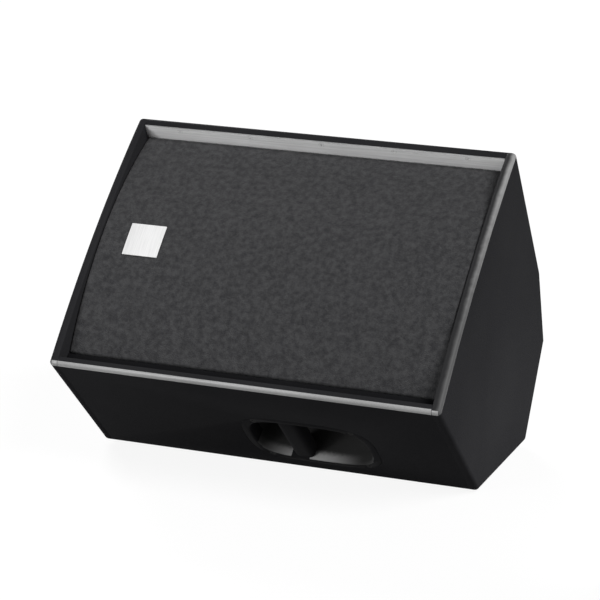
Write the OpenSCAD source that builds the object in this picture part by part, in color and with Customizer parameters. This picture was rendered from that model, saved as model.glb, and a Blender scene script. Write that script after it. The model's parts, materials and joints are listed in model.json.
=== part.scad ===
// Two-way stage monitor wedge: a plywood cabinet with a foam-faced curved grille, a woofer
// and a horn on the baffle behind it, and a carrying handle in the panel under the grille.
// Millimetres, +Z up, front towards -Y. The origin lies on the floor, under the middle of the box.

/* [Cabinet] */
// Overall width across the two end panels
cab_w = 580; // [540:1:700]
// Thickness of the plywood panels
panel_t = 13; // [11:0.5:18]
// Radius on the outer edges of the cabinet
edge_r = 6; // [3:0.5:9]
// How far the lower front lip stands ahead of the floor panel
kick_reach = 174; // [155:1:200]
// Height of the lower front lip above the floor panel
kick_rise = 170; // [155:1:200]
// Length of the front from the lower lip to the upper lip
front_len = 426; // [405:1:480]
// Tilt of the front from the floor, in degrees
front_tilt = 42.2; // [38:0.1:46]
// Bulge of the end panels' front edges over their chord
lip_bulge = 12; // [8:0.5:16]
// Depth of the floor panel
floor_depth = 222; // [200:1:260]
// How far the lower rear panel reaches back
rear_reach = 82; // [60:1:110]
// Height of the lower rear panel
rear_rise = 131; // [115:1:150]
// How far the upper rear panel leans forward
rear_lean = 32; // [20:1:45]
// Height of the upper rear panel
rear_up_rise = 115; // [108:1:140]

/* [Baffle] */
// Depth of the baffle's face behind the lips
baffle_set = 42; // [38:1:60]
// Thickness of the baffle
baffle_t = 15; // [12:0.5:22]
// Width of the square cleats behind the baffle
cleat_w = 18; // [12:1:24]

/* [Grille] */
// Depth of the foam's face at its upper and lower ends
rim_depth = 21; // [14:0.5:24]
// How far the foam's crown lies under the crown of the lips
grille_sink = 1; // [0:0.5:4]
// Thickness of the foam face
foam_t = 6; // [4:0.5:8]
// Thickness of the perforated steel sheet
steel_t = 1.5; // [1:0.1:2.5]
// Diameter of the perforations
hole_d = 10; // [6:0.5:11]
// Distance between neighbouring perforations
hole_pitch = 14; // [13:0.5:24]
// Thickness of the ribs that carry the sheet
rib_t = 12; // [9:1:16]
// Height of the ledge under the grille
ledge_t = 17; // [14:1:26]
// Thickness of the bar over the grille
retainer_t = 2; // [1.5:0.5:4]
// Width of the bar over the grille
retainer_w = 34; // [28:1:36]
// Depth of the bar's front edge behind the lip
retainer_set = 0.5; // [0.5:0.5:3]
// Number of screws in the bar
retainer_screw_count = 5; // [3:1:7]
// Width of the badge plate
badge_w = 54; // [40:1:70]
// Height of the badge plate along the front
badge_h = 52; // [40:1:70]
// Thickness of the badge plate
badge_t = 1.6; // [1:0.1:2.5]
// Distance of the badge's middle from the left end
badge_inset = 83; // [60:1:110]
// How far the badge's middle lies below the crown of the foam
badge_drop = 10; // [-60:1:60]

/* [Handle] */
// Sideways place of the handle's middle
handle_x = 62; // [-90:1:90]
// Height of the handle's middle above the floor panel, along the front foot
handle_up = 86; // [76:1:150]
// Width of the handle's mouth
handle_w = 175; // [150:1:200]
// Height of the handle's mouth
handle_h = 108; // [96:1:120]
// Depth of the cup
handle_depth = 58; // [50:1:64]
// How much the cup closes in towards its floor
handle_draft = 26; // [16:1:30]
// Wall of the cup
handle_wall = 3; // [2:0.5:4]
// Radius of the rounded lip of the mouth
handle_lip_r = 3; // [1.5:0.5:3]
// Width of the flush flange
handle_flange_w = 12; // [12:1:15]
// Thickness of the flush flange
handle_flange_t = 3; // [2:0.5:4]
// Width of the grip bar
grip_w = 30; // [24:1:36]
// Thickness of the grip bar
grip_t = 25; // [20:1:28]
// Place of the grip bar from the handle's middle
grip_shift = -25; // [-30:1:30]

/* [Connectors] */
// Width of the dish's mouth
dish_w = 128; // [120:1:160]
// Height of the dish's mouth
dish_h = 68; // [60:1:74]
// Depth of the dish
dish_depth = 30; // [24:1:36]
// Metal thickness of the dish
dish_t = 2; // [1.5:0.5:3]
// Width of the dish's flange
dish_flange_w = 11; // [9:0.5:13]
// Distance between the two sockets
socket_pitch = 60; // [44:1:70]
// Width of a socket's square flange
socket_w = 26; // [26:1:30]
// Radius of a socket's body
socket_r = 11.8; // [11:0.1:12.4]
// Radius of the hollow that takes the plug
socket_bore_r = 9.8; // [9:0.1:10.4]
// Radius of the post in that hollow
socket_post_r = 5.2; // [4.6:0.1:5.6]
// Depth of that hollow
socket_bore_depth = 18; // [14:1:20]

/* [Pole socket and feet] */
// Depth of the pole socket's axis behind the lips
pole_depth = 225; // [205:1:245]
// Radius of the pole socket's bore, for a 35 mm pole
pole_bore_r = 18; // [17.6:0.1:18.5]
// Length of that bore
pole_bore_len = 80; // [60:1:95]
// Wall of the pole socket
pole_wall = 3; // [2:0.5:4]
// Radius of its flush flange
pole_flange_r = 45; // [40:1:50]
// Thickness of its flush flange
pole_flange_t = 3; // [2:0.5:5]
// Radius of a rubber foot
foot_r = 16; // [13:1:20]
// Height of a rubber foot
foot_h = 5; // [3:0.5:8]
// Distance of the feet from the edges of the floor panel
foot_inset = 34; // [30:1:60]

/* [Woofer] */
// Radius of the basket's flange
woofer_r = 153; // [146:1:156]
// Thickness of the basket's flange
woofer_flange_t = 5; // [4:0.5:7]
// Width of the basket's flange
woofer_flange_w = 26; // [24:1:28]
// Depth of the basket behind the baffle's face
basket_depth = 76; // [70:1:90]
// Number of arms
basket_arms = 8; // [6:1:10]
// Inner radius of the voice coil
coil_r = 25; // [22:0.5:28]
// Wall of the voice coil
coil_t = 1.2; // [0.8:0.1:1.6]
// Radius of the cone's rim
cone_r = 111; // [106:1:113]
// Thickness of the cone
cone_t = 1.2; // [0.8:0.1:2]
// Radius of the dust cap
cap_r = 44; // [38:1:50]
// Travel of the cone each way
cone_travel = 6; // [3:0.5:7]
// Radius of the magnet ring
magnet_r = 78; // [70:1:85]
// Thickness of the magnet ring
magnet_t = 20; // [16:1:26]
// Number of screws in the flange
woofer_screw_count = 8; // [6:2:10]

/* [Horn] */
// Width of the horn's flange
horn_w = 160; // [140:1:172]
// Height of the horn's flange
horn_h = 236; // [200:1:260]
// Width of the rim of the flange
horn_rim = 17; // [15:0.5:20]
// Depth of the throat behind the baffle's face
horn_depth = 96; // [80:1:120]
// Radius of the throat
throat_r = 18; // [16:0.5:20]
// Wall of the flare
horn_wall = 3; // [2.5:0.5:4]
// Radius of the driver
driver_r = 56; // [53:1:62]
// Outer radius of the ports
port_r = 26; // [20:1:27]
// Length of the ports
port_len = 80; // [50:1:90]

/* [Crossover] */
// Width of the board
board_w = 160; // [140:1:200]
// Depth of the board
board_d = 110; // [100:1:120]
// Height of the spacers under the board
spacer_h = 8; // [5:1:14]

/* [Leads] */
// Radius of the leads inside the cabinet
lead_r = 2; // [1.5:0.1:2.2]

/* [Hidden] */
$fn = 64;

// Clearances: a glued or resting joint between curved faces, a dropped-in part, a screw in its hole
seat_gap = 0.3;
drop_gap = 0.5;
screw_gap = 0.1;
past = 1;

// Corners of the cabinet's section in Y and Z, anticlockwise, from the floor panel's front edge
front_dir = [cos(front_tilt), sin(front_tilt)];
front_out = [-sin(front_tilt), cos(front_tilt)];
lip_low = [-kick_reach, kick_rise];
corners = [
    lip_low,
    [0, 0],
    [floor_depth, 0],
    [floor_depth + rear_reach, rear_rise],
    [floor_depth + rear_reach - rear_lean, rear_rise + rear_up_rise],
    lip_low + front_len * front_dir,
];
// The panel that starts at each corner
kick = 0;
floor_side = 1;
lower_rear = 2;
upper_rear = 3;
top = 4;

// Plane geometry
function unit(v) = v / norm(v);
function left_of(d) = [-d[1], d[0]];
function cross2(a, b) = a[0] * b[1] - a[1] * b[0];
function meet(p, d, q, e) = p + d * cross2(q - p, e) / cross2(d, e);
function inset_corner(a, b, c, t) =
    let (d = unit(b - a), e = unit(c - b))
    meet(a + left_of(d) * t, d, c + left_of(e) * t, e);
function inset_loop(loop, t) = let (n = len(loop))
    [for (i = [0:n - 1]) inset_corner(loop[(i + n - 1) % n], loop[i], loop[(i + 1) % n], t)];
function round_corner(a, b, c, r, steps) =
    let (
        d = unit(b - a),
        e = unit(c - b),
        turn = atan2(cross2(d, e), d * e),
        start = atan2(-d[0], d[1]),
        middle = inset_corner(a, b, c, r)
    )
    [for (k = [0:steps]) let (t = start + turn * k / steps) middle + r * [cos(t), sin(t)]];
function span_of(list, first, last) = [for (i = [first:last]) list[i]];

// Outline of the cabinet: six rounded corners and the bulged front
bulge_steps = 16;
corner_steps = 6;
bulge_r = (pow(front_len / 2, 2) + pow(lip_bulge, 2)) / (2 * lip_bulge);
bulge_half = asin(front_len / 2 / bulge_r);
bulge_mid = lip_low + front_dir * front_len / 2 + front_out * (lip_bulge - bulge_r);
front_points = [
    for (k = [1:bulge_steps - 1])
        let (t = front_tilt + 90 - bulge_half + 2 * bulge_half * k / bulge_steps)
        bulge_mid + bulge_r * [cos(t), sin(t)]
];
raw_loop = concat(corners, front_points);
function corner_arc(loop, i, r) = let (n = len(loop))
    round_corner(loop[(i + n - 1) % n], loop[i], loop[(i + 1) % n], r, corner_steps);
function outline(inset) = let (loop = inset_loop(raw_loop, inset)) [
    for (i = [0:len(loop) - 1])
        for (p = i < len(corners) ? corner_arc(loop, i, edge_r - inset) : [loop[i]]) p
];

// Place of the section in the part's frame
section_y = [for (p = outline(0)) p[0]];
section_shift = [-(min(section_y) + max(section_y)) / 2, foot_h];
in_x = cab_w / 2 - panel_t;

// Inner faces. A point on one is given by its depth behind the lips and its distance off the panel
function inner_at(i, depth, off = 0) = let (
        d = unit(corners[i + 1] - corners[i]),
        p = corners[i] + left_of(d) * (panel_t + off)
    )
    meet(lip_low - front_out * depth, front_dir, p, d);
function along_front(p) = (p - lip_low) * front_dir;
inner_corners = concat(
    [inner_at(kick, 0)],
    [for (i = [1:4]) inset_corner(corners[i - 1], corners[i], corners[i + 1], panel_t)],
    [inner_at(top, 0)]
);
function strip(i, near, far, t) =
    [inner_at(i, near), inner_at(i, far), inner_at(i, far, t), inner_at(i, near, t)];
function panel_loop(i) = let (half = corner_steps / 2) concat(
    span_of(corner_arc(raw_loop, i, edge_r), i == kick ? 0 : half, corner_steps),
    span_of(corner_arc(raw_loop, i + 1, edge_r), 0, i == top ? corner_steps : half),
    [inner_corners[i + 1], inner_corners[i]]
);
function panel_len(i) = norm(corners[i + 1] - corners[i]);

// Grille: an arc between the ledge and the bar, crowned in the middle
grille_low = inner_at(kick, rim_depth, ledge_t + drop_gap);
grille_high = inner_at(top, rim_depth, retainer_t + drop_gap);
grille_half = norm(grille_high - grille_low) / 2;
grille_rise = rim_depth + lip_bulge - grille_sink;
grille_r = (pow(grille_half, 2) + pow(grille_rise, 2)) / (2 * grille_rise);
grille_mid = (grille_low + grille_high) / 2 + front_out * (grille_rise - grille_r);
grille_angle = asin(grille_half / grille_r);
sheet_r = grille_r - foam_t - seat_gap;
rib_r = sheet_r - steel_t - drop_gap;
grille_x = in_x - drop_gap;
row_step = 2 * asin(hole_pitch * sqrt(3) / 4 / sheet_r);
row_count = floor((2 * grille_angle - row_step) / row_step);
row_start = front_tilt + 90 - row_step * row_count / 2;
hole_count = floor((2 * grille_x - hole_pitch) / hole_pitch);
arc_fn = 720;
sector_reach = 1.2;

// Front layout: woofer, rib and horn share the room between the end ribs evenly
woofer_d = 2 * woofer_r;
front_gap = (2 * (in_x - rib_t) - woofer_d - rib_t - horn_w) / 4;
woofer_x = -in_x + rib_t + front_gap + woofer_r;
mid_rib_x = woofer_x + woofer_r + front_gap;
horn_x = in_x - rib_t - front_gap - horn_w / 2;
baffle_low = along_front(inner_at(kick, baffle_set));
baffle_high = along_front(inner_at(top, baffle_set));
driver_u = (baffle_low + baffle_high) / 2;
port_end = baffle_set + port_len;
port_side_gap = 5;
port_x = -in_x + rib_t + port_side_gap + port_r;
port_us = [
    along_front(inner_at(kick, port_end, cleat_w + drop_gap + port_r)),
    along_front(inner_at(top, port_end, cleat_w + drop_gap + port_r)),
];

// Frames
module in_row() translate([0, section_shift[0], section_shift[1]]) children();
module span(from_x, to_x)
    in_row() translate([from_x, 0, 0]) rotate([90, 0, 90]) linear_extrude(to_x - from_x) children();
module on_panel(i) let (p = corners[i], q = corners[(i + 1) % len(corners)])
    in_row() translate([0, q[0], q[1]]) rotate([atan2(p[1] - q[1], p[0] - q[0]), 0, 0]) children();
module on_baffle(x, u) on_panel(5) translate([x, u, -baffle_set]) children();
module at_each(spots) for (p = spots) translate(p) children();

// Solids of one pattern: rings of equal length, skinned in turn, with end caps or closed to a loop
module skin(rings, looped = false) {
    n = len(rings[0]);
    m = len(rings);
    sides = [
        for (i = [0:looped ? m - 1 : m - 2], j = [0:n - 1])
            let (k = (i + 1) % m)
            [i * n + j, k * n + j, k * n + (j + 1) % n, i * n + (j + 1) % n]
    ];
    caps = looped ? [] : [[for (j = [0:n - 1]) j], [for (j = [n - 1:-1:0]) (m - 1) * n + j]];
    polyhedron([for (r = rings) each r], concat(sides, caps), convexity = 6);
}
function power_of(c, e) = sign(c) * pow(abs(c), 2 / e);
function oval_at(a, b, e, t) = [a * power_of(cos(t), e), b * power_of(sin(t), e)];
function oval(a, b, e, steps) = [for (j = [0:steps - 1]) oval_at(a, b, e, 360 * (j + 0.5) / steps)];
function lift(points, z) = [for (p = points) [p[0], p[1], z]];
module ring(outer, inner, from_z, to_z) translate([0, 0, from_z]) difference() {
    cylinder(r = outer, h = to_z - from_z);
    translate([0, 0, -past]) cylinder(r = inner, h = to_z - from_z + 2 * past);
}

// Fasteners point down from z = 0. A hole is its fastener with clearance
module sunk_screw(d, length, gap = 0) rotate_extrude() polygon([
    [0, gap ? past : 0], [d + gap, gap ? past : 0], [d + gap, 0], [d / 2 + gap, -d / 2],
    [d / 2 + gap, -length - gap], [0, -length - gap],
]);
module pan_screw(d, length, head_r = 1, head_h = 0.6) {
    cylinder(r = d * head_r, h = d * head_h);
    translate([0, 0, -length]) cylinder(d = d, h = length);
}
module pan_hole(d, length) translate([0, 0, -length - screw_gap])
    cylinder(d = d + 2 * screw_gap, h = length + screw_gap + past);
module pan_hole_through(d, t) translate([0, 0, -past]) cylinder(d = d + 2 * screw_gap, h = t + 2 * past);
function four(a, b) = [[-a, -b], [a, -b], [a, b], [-a, b]];
function circle_of(count, r, start = 0) =
    [for (k = [0:count - 1]) let (t = start + 360 * k / count) r * [cos(t), sin(t)]];

// Cabinet
module end_panel_blank() {
    // The last turn stops short of 90 degrees, so that no corner closes to a point
    turns = [0, 22.5, 45, 67.5, 86];
    rings = concat(
        [lift(outline(0), 0)],
        [for (a = turns) lift(outline(edge_r * (1 - cos(a))), panel_t - edge_r * (1 - sin(a)))]
    );
    in_row() translate([in_x, 0, 0]) rotate([90, 0, 90]) skin(rings);
}
module right_end_panel() color("dimgray") end_panel_blank();
module left_end_panel() color("dimgray") difference() {
    mirror([1, 0, 0]) end_panel_blank();
    at_pole() {
        translate([0, 0, -pole_flange_t]) cylinder(r = pole_flange_r + drop_gap, h = pole_flange_t + past);
        translate([0, 0, -panel_t - past])
            cylinder(r = pole_bore_r + pole_wall + drop_gap, h = panel_t + 2 * past);
        at_each(pole_screw_spots) sunk_screw(pole_screw_d, pole_screw_len, screw_gap);
    }
}
module long_panel(i) span(-in_x, in_x) polygon(panel_loop(i));
module kick_panel() color("dimgray") difference() {
    long_panel(kick);
    at_handle() {
        translate([0, 0, -panel_t - past]) linear_extrude(panel_t + 2 * past)
            polygon(handle_oval(handle_wall + drop_gap));
        translate([0, 0, -handle_flange_t]) linear_extrude(handle_flange_t + past)
            polygon(handle_oval(handle_flange_w + drop_gap));
        at_each(handle_screw_spots) sunk_screw(small_screw_d, small_screw_len, screw_gap);
    }
}
module floor_panel() color("dimgray") difference() {
    long_panel(floor_side);
    at_feet() pan_hole(small_screw_d, foot_screw_len);
    on_floor() at_each(board_spots) pan_hole(small_screw_d, board_screw_hold);
}
module lower_rear_panel() color("dimgray") long_panel(lower_rear);
module upper_rear_panel() color("dimgray") difference() {
    long_panel(upper_rear);
    at_dish() {
        translate([0, 0, -panel_t - past]) linear_extrude(panel_t + 2 * past)
            polygon(dish_oval(dish_t + drop_gap));
        at_each(dish_screw_spots) pan_hole(small_screw_d, small_screw_len);
    }
}
module top_panel() color("dimgray") difference() {
    long_panel(top);
    at_retainer() sunk_screw(small_screw_d, small_screw_len, screw_gap);
}
module baffle() color("peru") difference() {
    span(-in_x, in_x) polygon([
        inner_at(kick, baffle_set), inner_at(kick, baffle_set + baffle_t),
        inner_at(top, baffle_set + baffle_t), inner_at(top, baffle_set),
    ]);
    on_baffle(woofer_x, driver_u) {
        translate([0, 0, -baffle_t - past]) cylinder(r = woofer_cut_r, h = baffle_t + 2 * past);
        at_each(woofer_screw_spots) pan_hole(woofer_screw_d, woofer_screw_hold);
    }
    on_baffle(horn_x, driver_u) {
        translate([0, 0, -baffle_t - past]) linear_extrude(baffle_t + 2 * past)
            polygon(horn_oval(horn_w / 2 - horn_rim + horn_wall + drop_gap,
                horn_h / 2 - horn_rim + horn_wall + drop_gap));
        at_each(horn_screw_spots) pan_hole(small_screw_d, horn_screw_hold);
    }
    for (u = port_us) on_baffle(port_x, u) translate([0, 0, -baffle_t - past])
        cylinder(r = port_r, h = baffle_t + 2 * past);
}
module baffle_cleats() color("burlywood") for (i = [kick, top])
    span(-in_x, in_x) polygon(strip(i, baffle_set + baffle_t, baffle_set + baffle_t + cleat_w, cleat_w));

// Grille
module grille_sector(outer, inner, spread = grille_angle, drop = 0) translate(grille_mid) intersection() {
    difference() {
        circle(r = outer, $fn = arc_fn);
        circle(r = inner, $fn = arc_fn);
    }
    polygon(concat([[0, 0]], [for (s = [-1, 1])
        let (t = front_tilt + 90 + drop + s * spread) sector_reach * outer * [cos(t), sin(t)]]));
}
module grille_ribs() color("sienna") for (x = [-in_x + rib_t / 2, mid_rib_x + rib_t / 2, in_x - rib_t / 2])
    span(x - rib_t / 2, x + rib_t / 2) intersection() {
        translate(grille_mid) circle(r = rib_r, $fn = arc_fn);
        polygon([
            inner_at(kick, baffle_set, ledge_t), inner_at(top, baffle_set, retainer_t + drop_gap),
            inner_at(top, -2 * lip_bulge, retainer_t + drop_gap), inner_at(kick, -2 * lip_bulge, ledge_t),
        ]);
    }
module grille_ledge() color("dimgray") span(-in_x, in_x) polygon(strip(kick, rim_depth, baffle_set, ledge_t));
module grille_retainer() color("silver") difference() {
    span(-in_x, in_x) polygon(strip(top, retainer_set, retainer_set + retainer_w, retainer_t));
    at_retainer() sunk_screw(small_screw_d, small_screw_len, screw_gap);
}
module retainer_screws() color("silver") at_retainer() sunk_screw(small_screw_d, small_screw_len);
module at_retainer() on_panel(top) for (k = [0:retainer_screw_count - 1])
    translate([
        in_x * (2 * (k + 0.5) / retainer_screw_count - 1),
        retainer_set + 2 * small_screw_d,
        -panel_t - retainer_t,
    ]) rotate([180, 0, 0]) children();
module grille_sheet() color("black") difference() {
    span(-grille_x, grille_x) translate(grille_mid)
        polygon(concat(sheet_arc(sheet_r), reverse(sheet_arc(sheet_r - steel_t))));
    in_row() translate([0, grille_mid[0], grille_mid[1]]) for (i = [0:row_count - 1])
        rotate([row_start + row_step * (i + 0.5) - 90, 0, 0]) for (k = [0:hole_count - 1 - i % 2])
            translate([hole_pitch * (k + (i % 2) / 2 - (hole_count - 1) / 2), 0, sheet_r - steel_t - past])
                cylinder(d = hole_d, h = steel_t + 2 * past, $fn = 24);
}
function sheet_arc(r) = let (
        mid = front_tilt + 90,
        rows = [for (i = [0:row_count]) row_start + row_step * i],
        turns = concat([mid - grille_angle], rows, [mid + grille_angle])
    )
    [for (t = turns) r * [cos(t), sin(t)]];
function reverse(list) = [for (i = [len(list) - 1:-1:0]) list[i]];
module grille_foam() color("darkslategray") span(-grille_x, grille_x)
    grille_sector(grille_r, grille_r - foam_t);
module badge_plate() color("gainsboro") let (x = -cab_w / 2 + badge_inset)
    span(x - badge_w / 2, x + badge_w / 2)
        grille_sector(grille_r + seat_gap + badge_t, grille_r + seat_gap,
            asin(badge_h / 2 / grille_r), asin(badge_drop / grille_r));

// Handle
small_screw_d = 4;
small_screw_len = 12;
handle_steps = 48;
handle_square = 3.4;
grip_square = 4;
handle_screw_out = handle_wall + drop_gap + small_screw_d;
function handle_oval(grow) = oval(handle_w / 2 + grow, handle_h / 2 + grow, handle_square, handle_steps);
handle_screw_spots = [for (t = [50, 130, 230, 310])
    oval_at(handle_w / 2 + handle_screw_out, handle_h / 2 + handle_screw_out, handle_square, t)];
cup_angles = [0, 20, 40, 60, 78];
lip_turns = [0, 30, 60, 90];
function cup_inset(a) = handle_draft * (1 - cos(a));
function cup_z(a) = -handle_depth * sin(a) / sin(cup_angles[4]);
module at_handle() on_panel(kick) translate([handle_x, handle_up, 0]) children();
module handle_cup() color("black") at_handle() difference() {
    skin(concat(
        [for (a = reverse(cup_angles)) if (a > 0)
            lift(handle_oval(handle_wall - cup_inset(a)), cup_z(a) - handle_wall * sin(a))],
        [lift(handle_oval(handle_wall), -handle_flange_t)],
        [for (z = [-handle_flange_t, 0]) lift(handle_oval(handle_flange_w), z)],
        [for (a = lip_turns) lift(handle_oval(handle_lip_r * (1 - sin(a))), -handle_lip_r * (1 - cos(a)))],
        [for (a = cup_angles) if (a > 0) lift(handle_oval(-cup_inset(a)), cup_z(a))]
    ));
    at_each(handle_screw_spots) sunk_screw(small_screw_d, small_screw_len, screw_gap);
}
module handle_grip() color("black") at_handle() intersection() {
    translate([grip_shift, handle_h, -grip_t / 2 - past]) rotate([90, 0, 0])
        linear_extrude(2 * handle_h) polygon(oval(grip_w / 2, grip_t / 2, grip_square, 32));
    skin([for (a = reverse(cup_angles)) lift(handle_oval(-cup_inset(a) - seat_gap), cup_z(a) + seat_gap)]);
}
module handle_screws() color("black") at_handle() at_each(handle_screw_spots)
    sunk_screw(small_screw_d, small_screw_len);

// Connectors
dish_steps = 40;
dish_square = 9;
function dish_oval(grow) = oval(dish_w / 2 + grow, dish_h / 2 + grow, dish_square, dish_steps);
dish_screw_spots = four(dish_w / 2 + dish_flange_w / 2, dish_h / 2 - dish_flange_w / 2);
socket_spots = [[-socket_pitch / 2, 0], [socket_pitch / 2, 0]];
socket_screw_d = 3;
socket_screw_at = four(socket_w / 2 - socket_screw_d, socket_w / 2 - socket_screw_d);
socket_flange_t = 2.5;
socket_tail = 8;
socket_square = 8;
socket_tag_w = 4;
socket_tag_t = 1;
module at_dish() on_panel(upper_rear) translate([0, panel_len(upper_rear) / 2, 0]) children();
module at_socket(k) at_dish() translate([socket_spots[k][0], socket_spots[k][1], -dish_depth]) children();
module connector_dish() color("black") difference() {
    at_dish() {
        difference() {
            linear_extrude(dish_t) polygon(dish_oval(dish_flange_w));
            translate([0, 0, -past]) linear_extrude(dish_t + 2 * past) polygon(dish_oval(0));
        }
        translate([0, 0, -dish_depth - dish_t]) linear_extrude(dish_depth + 2 * dish_t) difference() {
            polygon(dish_oval(dish_t));
            polygon(dish_oval(0));
        }
        translate([0, 0, -dish_depth - dish_t]) linear_extrude(dish_t) polygon(dish_oval(dish_t));
    }
    at_dish() at_each(dish_screw_spots) translate([0, 0, dish_t]) pan_hole(small_screw_d, small_screw_len);
    for (k = [0, 1]) at_socket(k) {
        translate([0, 0, -dish_t - past]) cylinder(r = socket_r + screw_gap, h = dish_t + 2 * past);
        at_each(socket_screw_at) pan_hole(socket_screw_d, dish_t + past);
    }
}
module dish_screws() color("dimgray") at_dish() at_each(dish_screw_spots)
    translate([0, 0, dish_t]) pan_screw(small_screw_d, small_screw_len);
module socket(k) color("midnightblue") at_socket(k) difference() {
    union() {
        linear_extrude(socket_flange_t) polygon(oval(socket_w / 2, socket_w / 2, socket_square, 32));
        translate([0, 0, -socket_bore_depth - dish_t])
            cylinder(r = socket_r, h = socket_bore_depth + dish_t + past);
        for (a = [45:90:315]) rotate(a)
            translate([socket_r / 2, -socket_tag_w / 2, -socket_bore_depth - dish_t - socket_tail])
                cube([socket_tag_t, socket_tag_w, socket_tail + past]);
    }
    difference() {
        translate([0, 0, socket_flange_t - socket_bore_depth])
            cylinder(r = socket_bore_r, h = socket_bore_depth + past);
        translate([0, 0, -socket_bore_depth]) cylinder(r = socket_post_r, h = socket_bore_depth);
    }
    at_each(socket_screw_at) pan_hole_through(socket_screw_d, socket_flange_t);
}
module input_socket() socket(0);
module link_socket() socket(1);
module socket_screws() color("silver") for (k = [0, 1]) at_socket(k) at_each(socket_screw_at)
    translate([0, 0, socket_flange_t]) pan_screw(socket_screw_d, socket_flange_t + dish_t, 0.75, 0.5);

// Pole socket, in the left end panel
pole_screw_d = 5;
pole_screw_len = 12;
pole_screw_spots = circle_of(4, (pole_bore_r + pole_wall + pole_flange_r) / 2, 45);
pole_at = lip_low + front_dir * front_len / 2 - front_out * pole_depth;
module at_pole() in_row() translate([-cab_w / 2, pole_at[0], pole_at[1]]) rotate([0, -90, 0]) children();
module pole_socket() color("black") at_pole() difference() {
    union() {
        translate([0, 0, -pole_flange_t]) cylinder(r = pole_flange_r, h = pole_flange_t);
        translate([0, 0, -pole_bore_len - pole_wall])
            cylinder(r = pole_bore_r + pole_wall, h = pole_bore_len + pole_wall);
    }
    translate([0, 0, -pole_bore_len]) cylinder(r = pole_bore_r, h = pole_bore_len + past);
    at_each(pole_screw_spots) sunk_screw(pole_screw_d, pole_screw_len, screw_gap);
}
module pole_socket_screws() color("dimgray") at_pole() at_each(pole_screw_spots)
    sunk_screw(pole_screw_d, pole_screw_len);

// Feet, under the floor panel
foot_screw_len = 10;
foot_seat = foot_h / 2;
foot_head_r = 4.8;
foot_head_h = 1.5;
foot_pocket_gap = 1.2;
foot_taper = 1.25;
module at_feet() on_panel(floor_side) for (x = [-1, 1], y = [foot_inset, floor_depth - foot_inset])
    translate([x * (cab_w / 2 - foot_inset), y, 0]) children();
module feet() color("black") at_feet() difference() {
    cylinder(r1 = foot_r, r2 = foot_r - foot_taper, h = foot_h);
    translate([0, 0, foot_seat]) cylinder(r = foot_head_r + foot_pocket_gap, h = foot_h);
    translate([0, 0, -past]) cylinder(d = small_screw_d + 2 * screw_gap, h = foot_h);
}
module foot_screws() color("silver") at_feet() translate([0, 0, foot_seat]) {
    cylinder(r = foot_head_r, h = foot_head_h);
    translate([0, 0, -foot_screw_len - foot_seat + screw_gap])
        cylinder(d = small_screw_d, h = foot_screw_len + foot_seat - screw_gap);
}

// Woofer, from the baffle's face, outwards along +z
woofer_screw_d = 5;
woofer_screw_hold = 12;
gasket_t = 3;
woofer_wall = 4;
plate_t = 4;
vent_r = 8;
basket_gap = 2;
landing_w = 7;
landing_h = 8;
motor_land = 51;
cone_rim_w = 7;
cone_curve = 0.8;
woofer_cut_r = woofer_r - woofer_flange_w / 2 + past;
basket_top_r = woofer_cut_r - basket_gap;
basket_low_r = coil_r + motor_land;
basket_floor = -basket_depth + plate_t;
basket_bend = basket_floor + basket_gap;
woofer_screw_r = (woofer_cut_r + woofer_r) / 2;
woofer_screw_spots = circle_of(woofer_screw_count, woofer_screw_r, 22.5);
woofer_inner_r = woofer_r - woofer_flange_w;
window_share = 2 / 3;
window_top = 12;
gap_in = 0.7;
top_plate_t = 8;
back_plate_t = 8;
plate_step = 5;
magnet_room = 12;
pole_r = coil_r - gap_in;
gap_r = coil_r + coil_t + gap_in;
magnet_top = -basket_depth - top_plate_t;
magnet_low = magnet_top - magnet_t;
coil_over = 26;
coil_under = 4;
coil_top = -basket_depth + coil_over;
coil_low = magnet_low + cone_travel + coil_under;
spider_z = basket_floor + landing_h;
spider_r = basket_low_r - woofer_wall - landing_w + past;
spider_t = 1;
spider_collar = 4;
spider_rise = 1.6;
surround_t = 1;
surround_rise = 3;
surround_waves = 3;
spider_waves = 5;
cone_neck_r = coil_r + coil_t + seat_gap;
cone_low = coil_top - basket_gap;
cone_high = woofer_flange_t - cone_t;
module at_woofer() on_baffle(woofer_x, driver_u) children();
module woofer_basket() color("darkgray") at_woofer() difference() {
    rotate_extrude() polygon([
        [woofer_inner_r, woofer_flange_t], [woofer_r, woofer_flange_t], [woofer_r, 0], [basket_top_r, 0],
        [basket_low_r, basket_bend], [basket_low_r, -basket_depth],
        [gap_r + basket_gap, -basket_depth], [gap_r + basket_gap, basket_floor],
        [spider_r - landing_w, basket_floor], [spider_r - landing_w, spider_z],
        [spider_r, spider_z], [spider_r, basket_bend],
        [basket_low_r - woofer_wall, basket_bend], [basket_top_r - woofer_wall, 0],
        [woofer_inner_r, 0],
    ]);
    for (k = [0:basket_arms - 1]) rotate(360 * k / basket_arms) translate([0, 0, spider_z + woofer_wall])
        rotate_extrude(angle = window_share * 360 / basket_arms) translate([spider_r + past, 0])
            square([basket_top_r - spider_r, -spider_z - woofer_wall - window_top]);
    at_each(woofer_screw_spots) pan_hole_through(woofer_screw_d, woofer_flange_t);
}
module woofer_gasket() color("black") at_woofer() difference() {
    ring(woofer_r, basket_top_r, woofer_flange_t, woofer_flange_t + gasket_t);
    at_each(woofer_screw_spots) translate([0, 0, woofer_flange_t]) pan_hole_through(woofer_screw_d, gasket_t);
}
module woofer_screws() color("dimgray") at_woofer() at_each(woofer_screw_spots)
    translate([0, 0, woofer_flange_t + gasket_t])
        pan_screw(woofer_screw_d, woofer_flange_t + gasket_t + woofer_screw_hold - past);
module woofer_top_plate() color("silver") at_woofer()
    ring(magnet_r - plate_step, gap_r, magnet_top, -basket_depth);
module woofer_magnet() color("dimgray") at_woofer()
    ring(magnet_r, gap_r + magnet_room, magnet_low, magnet_top);
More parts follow.
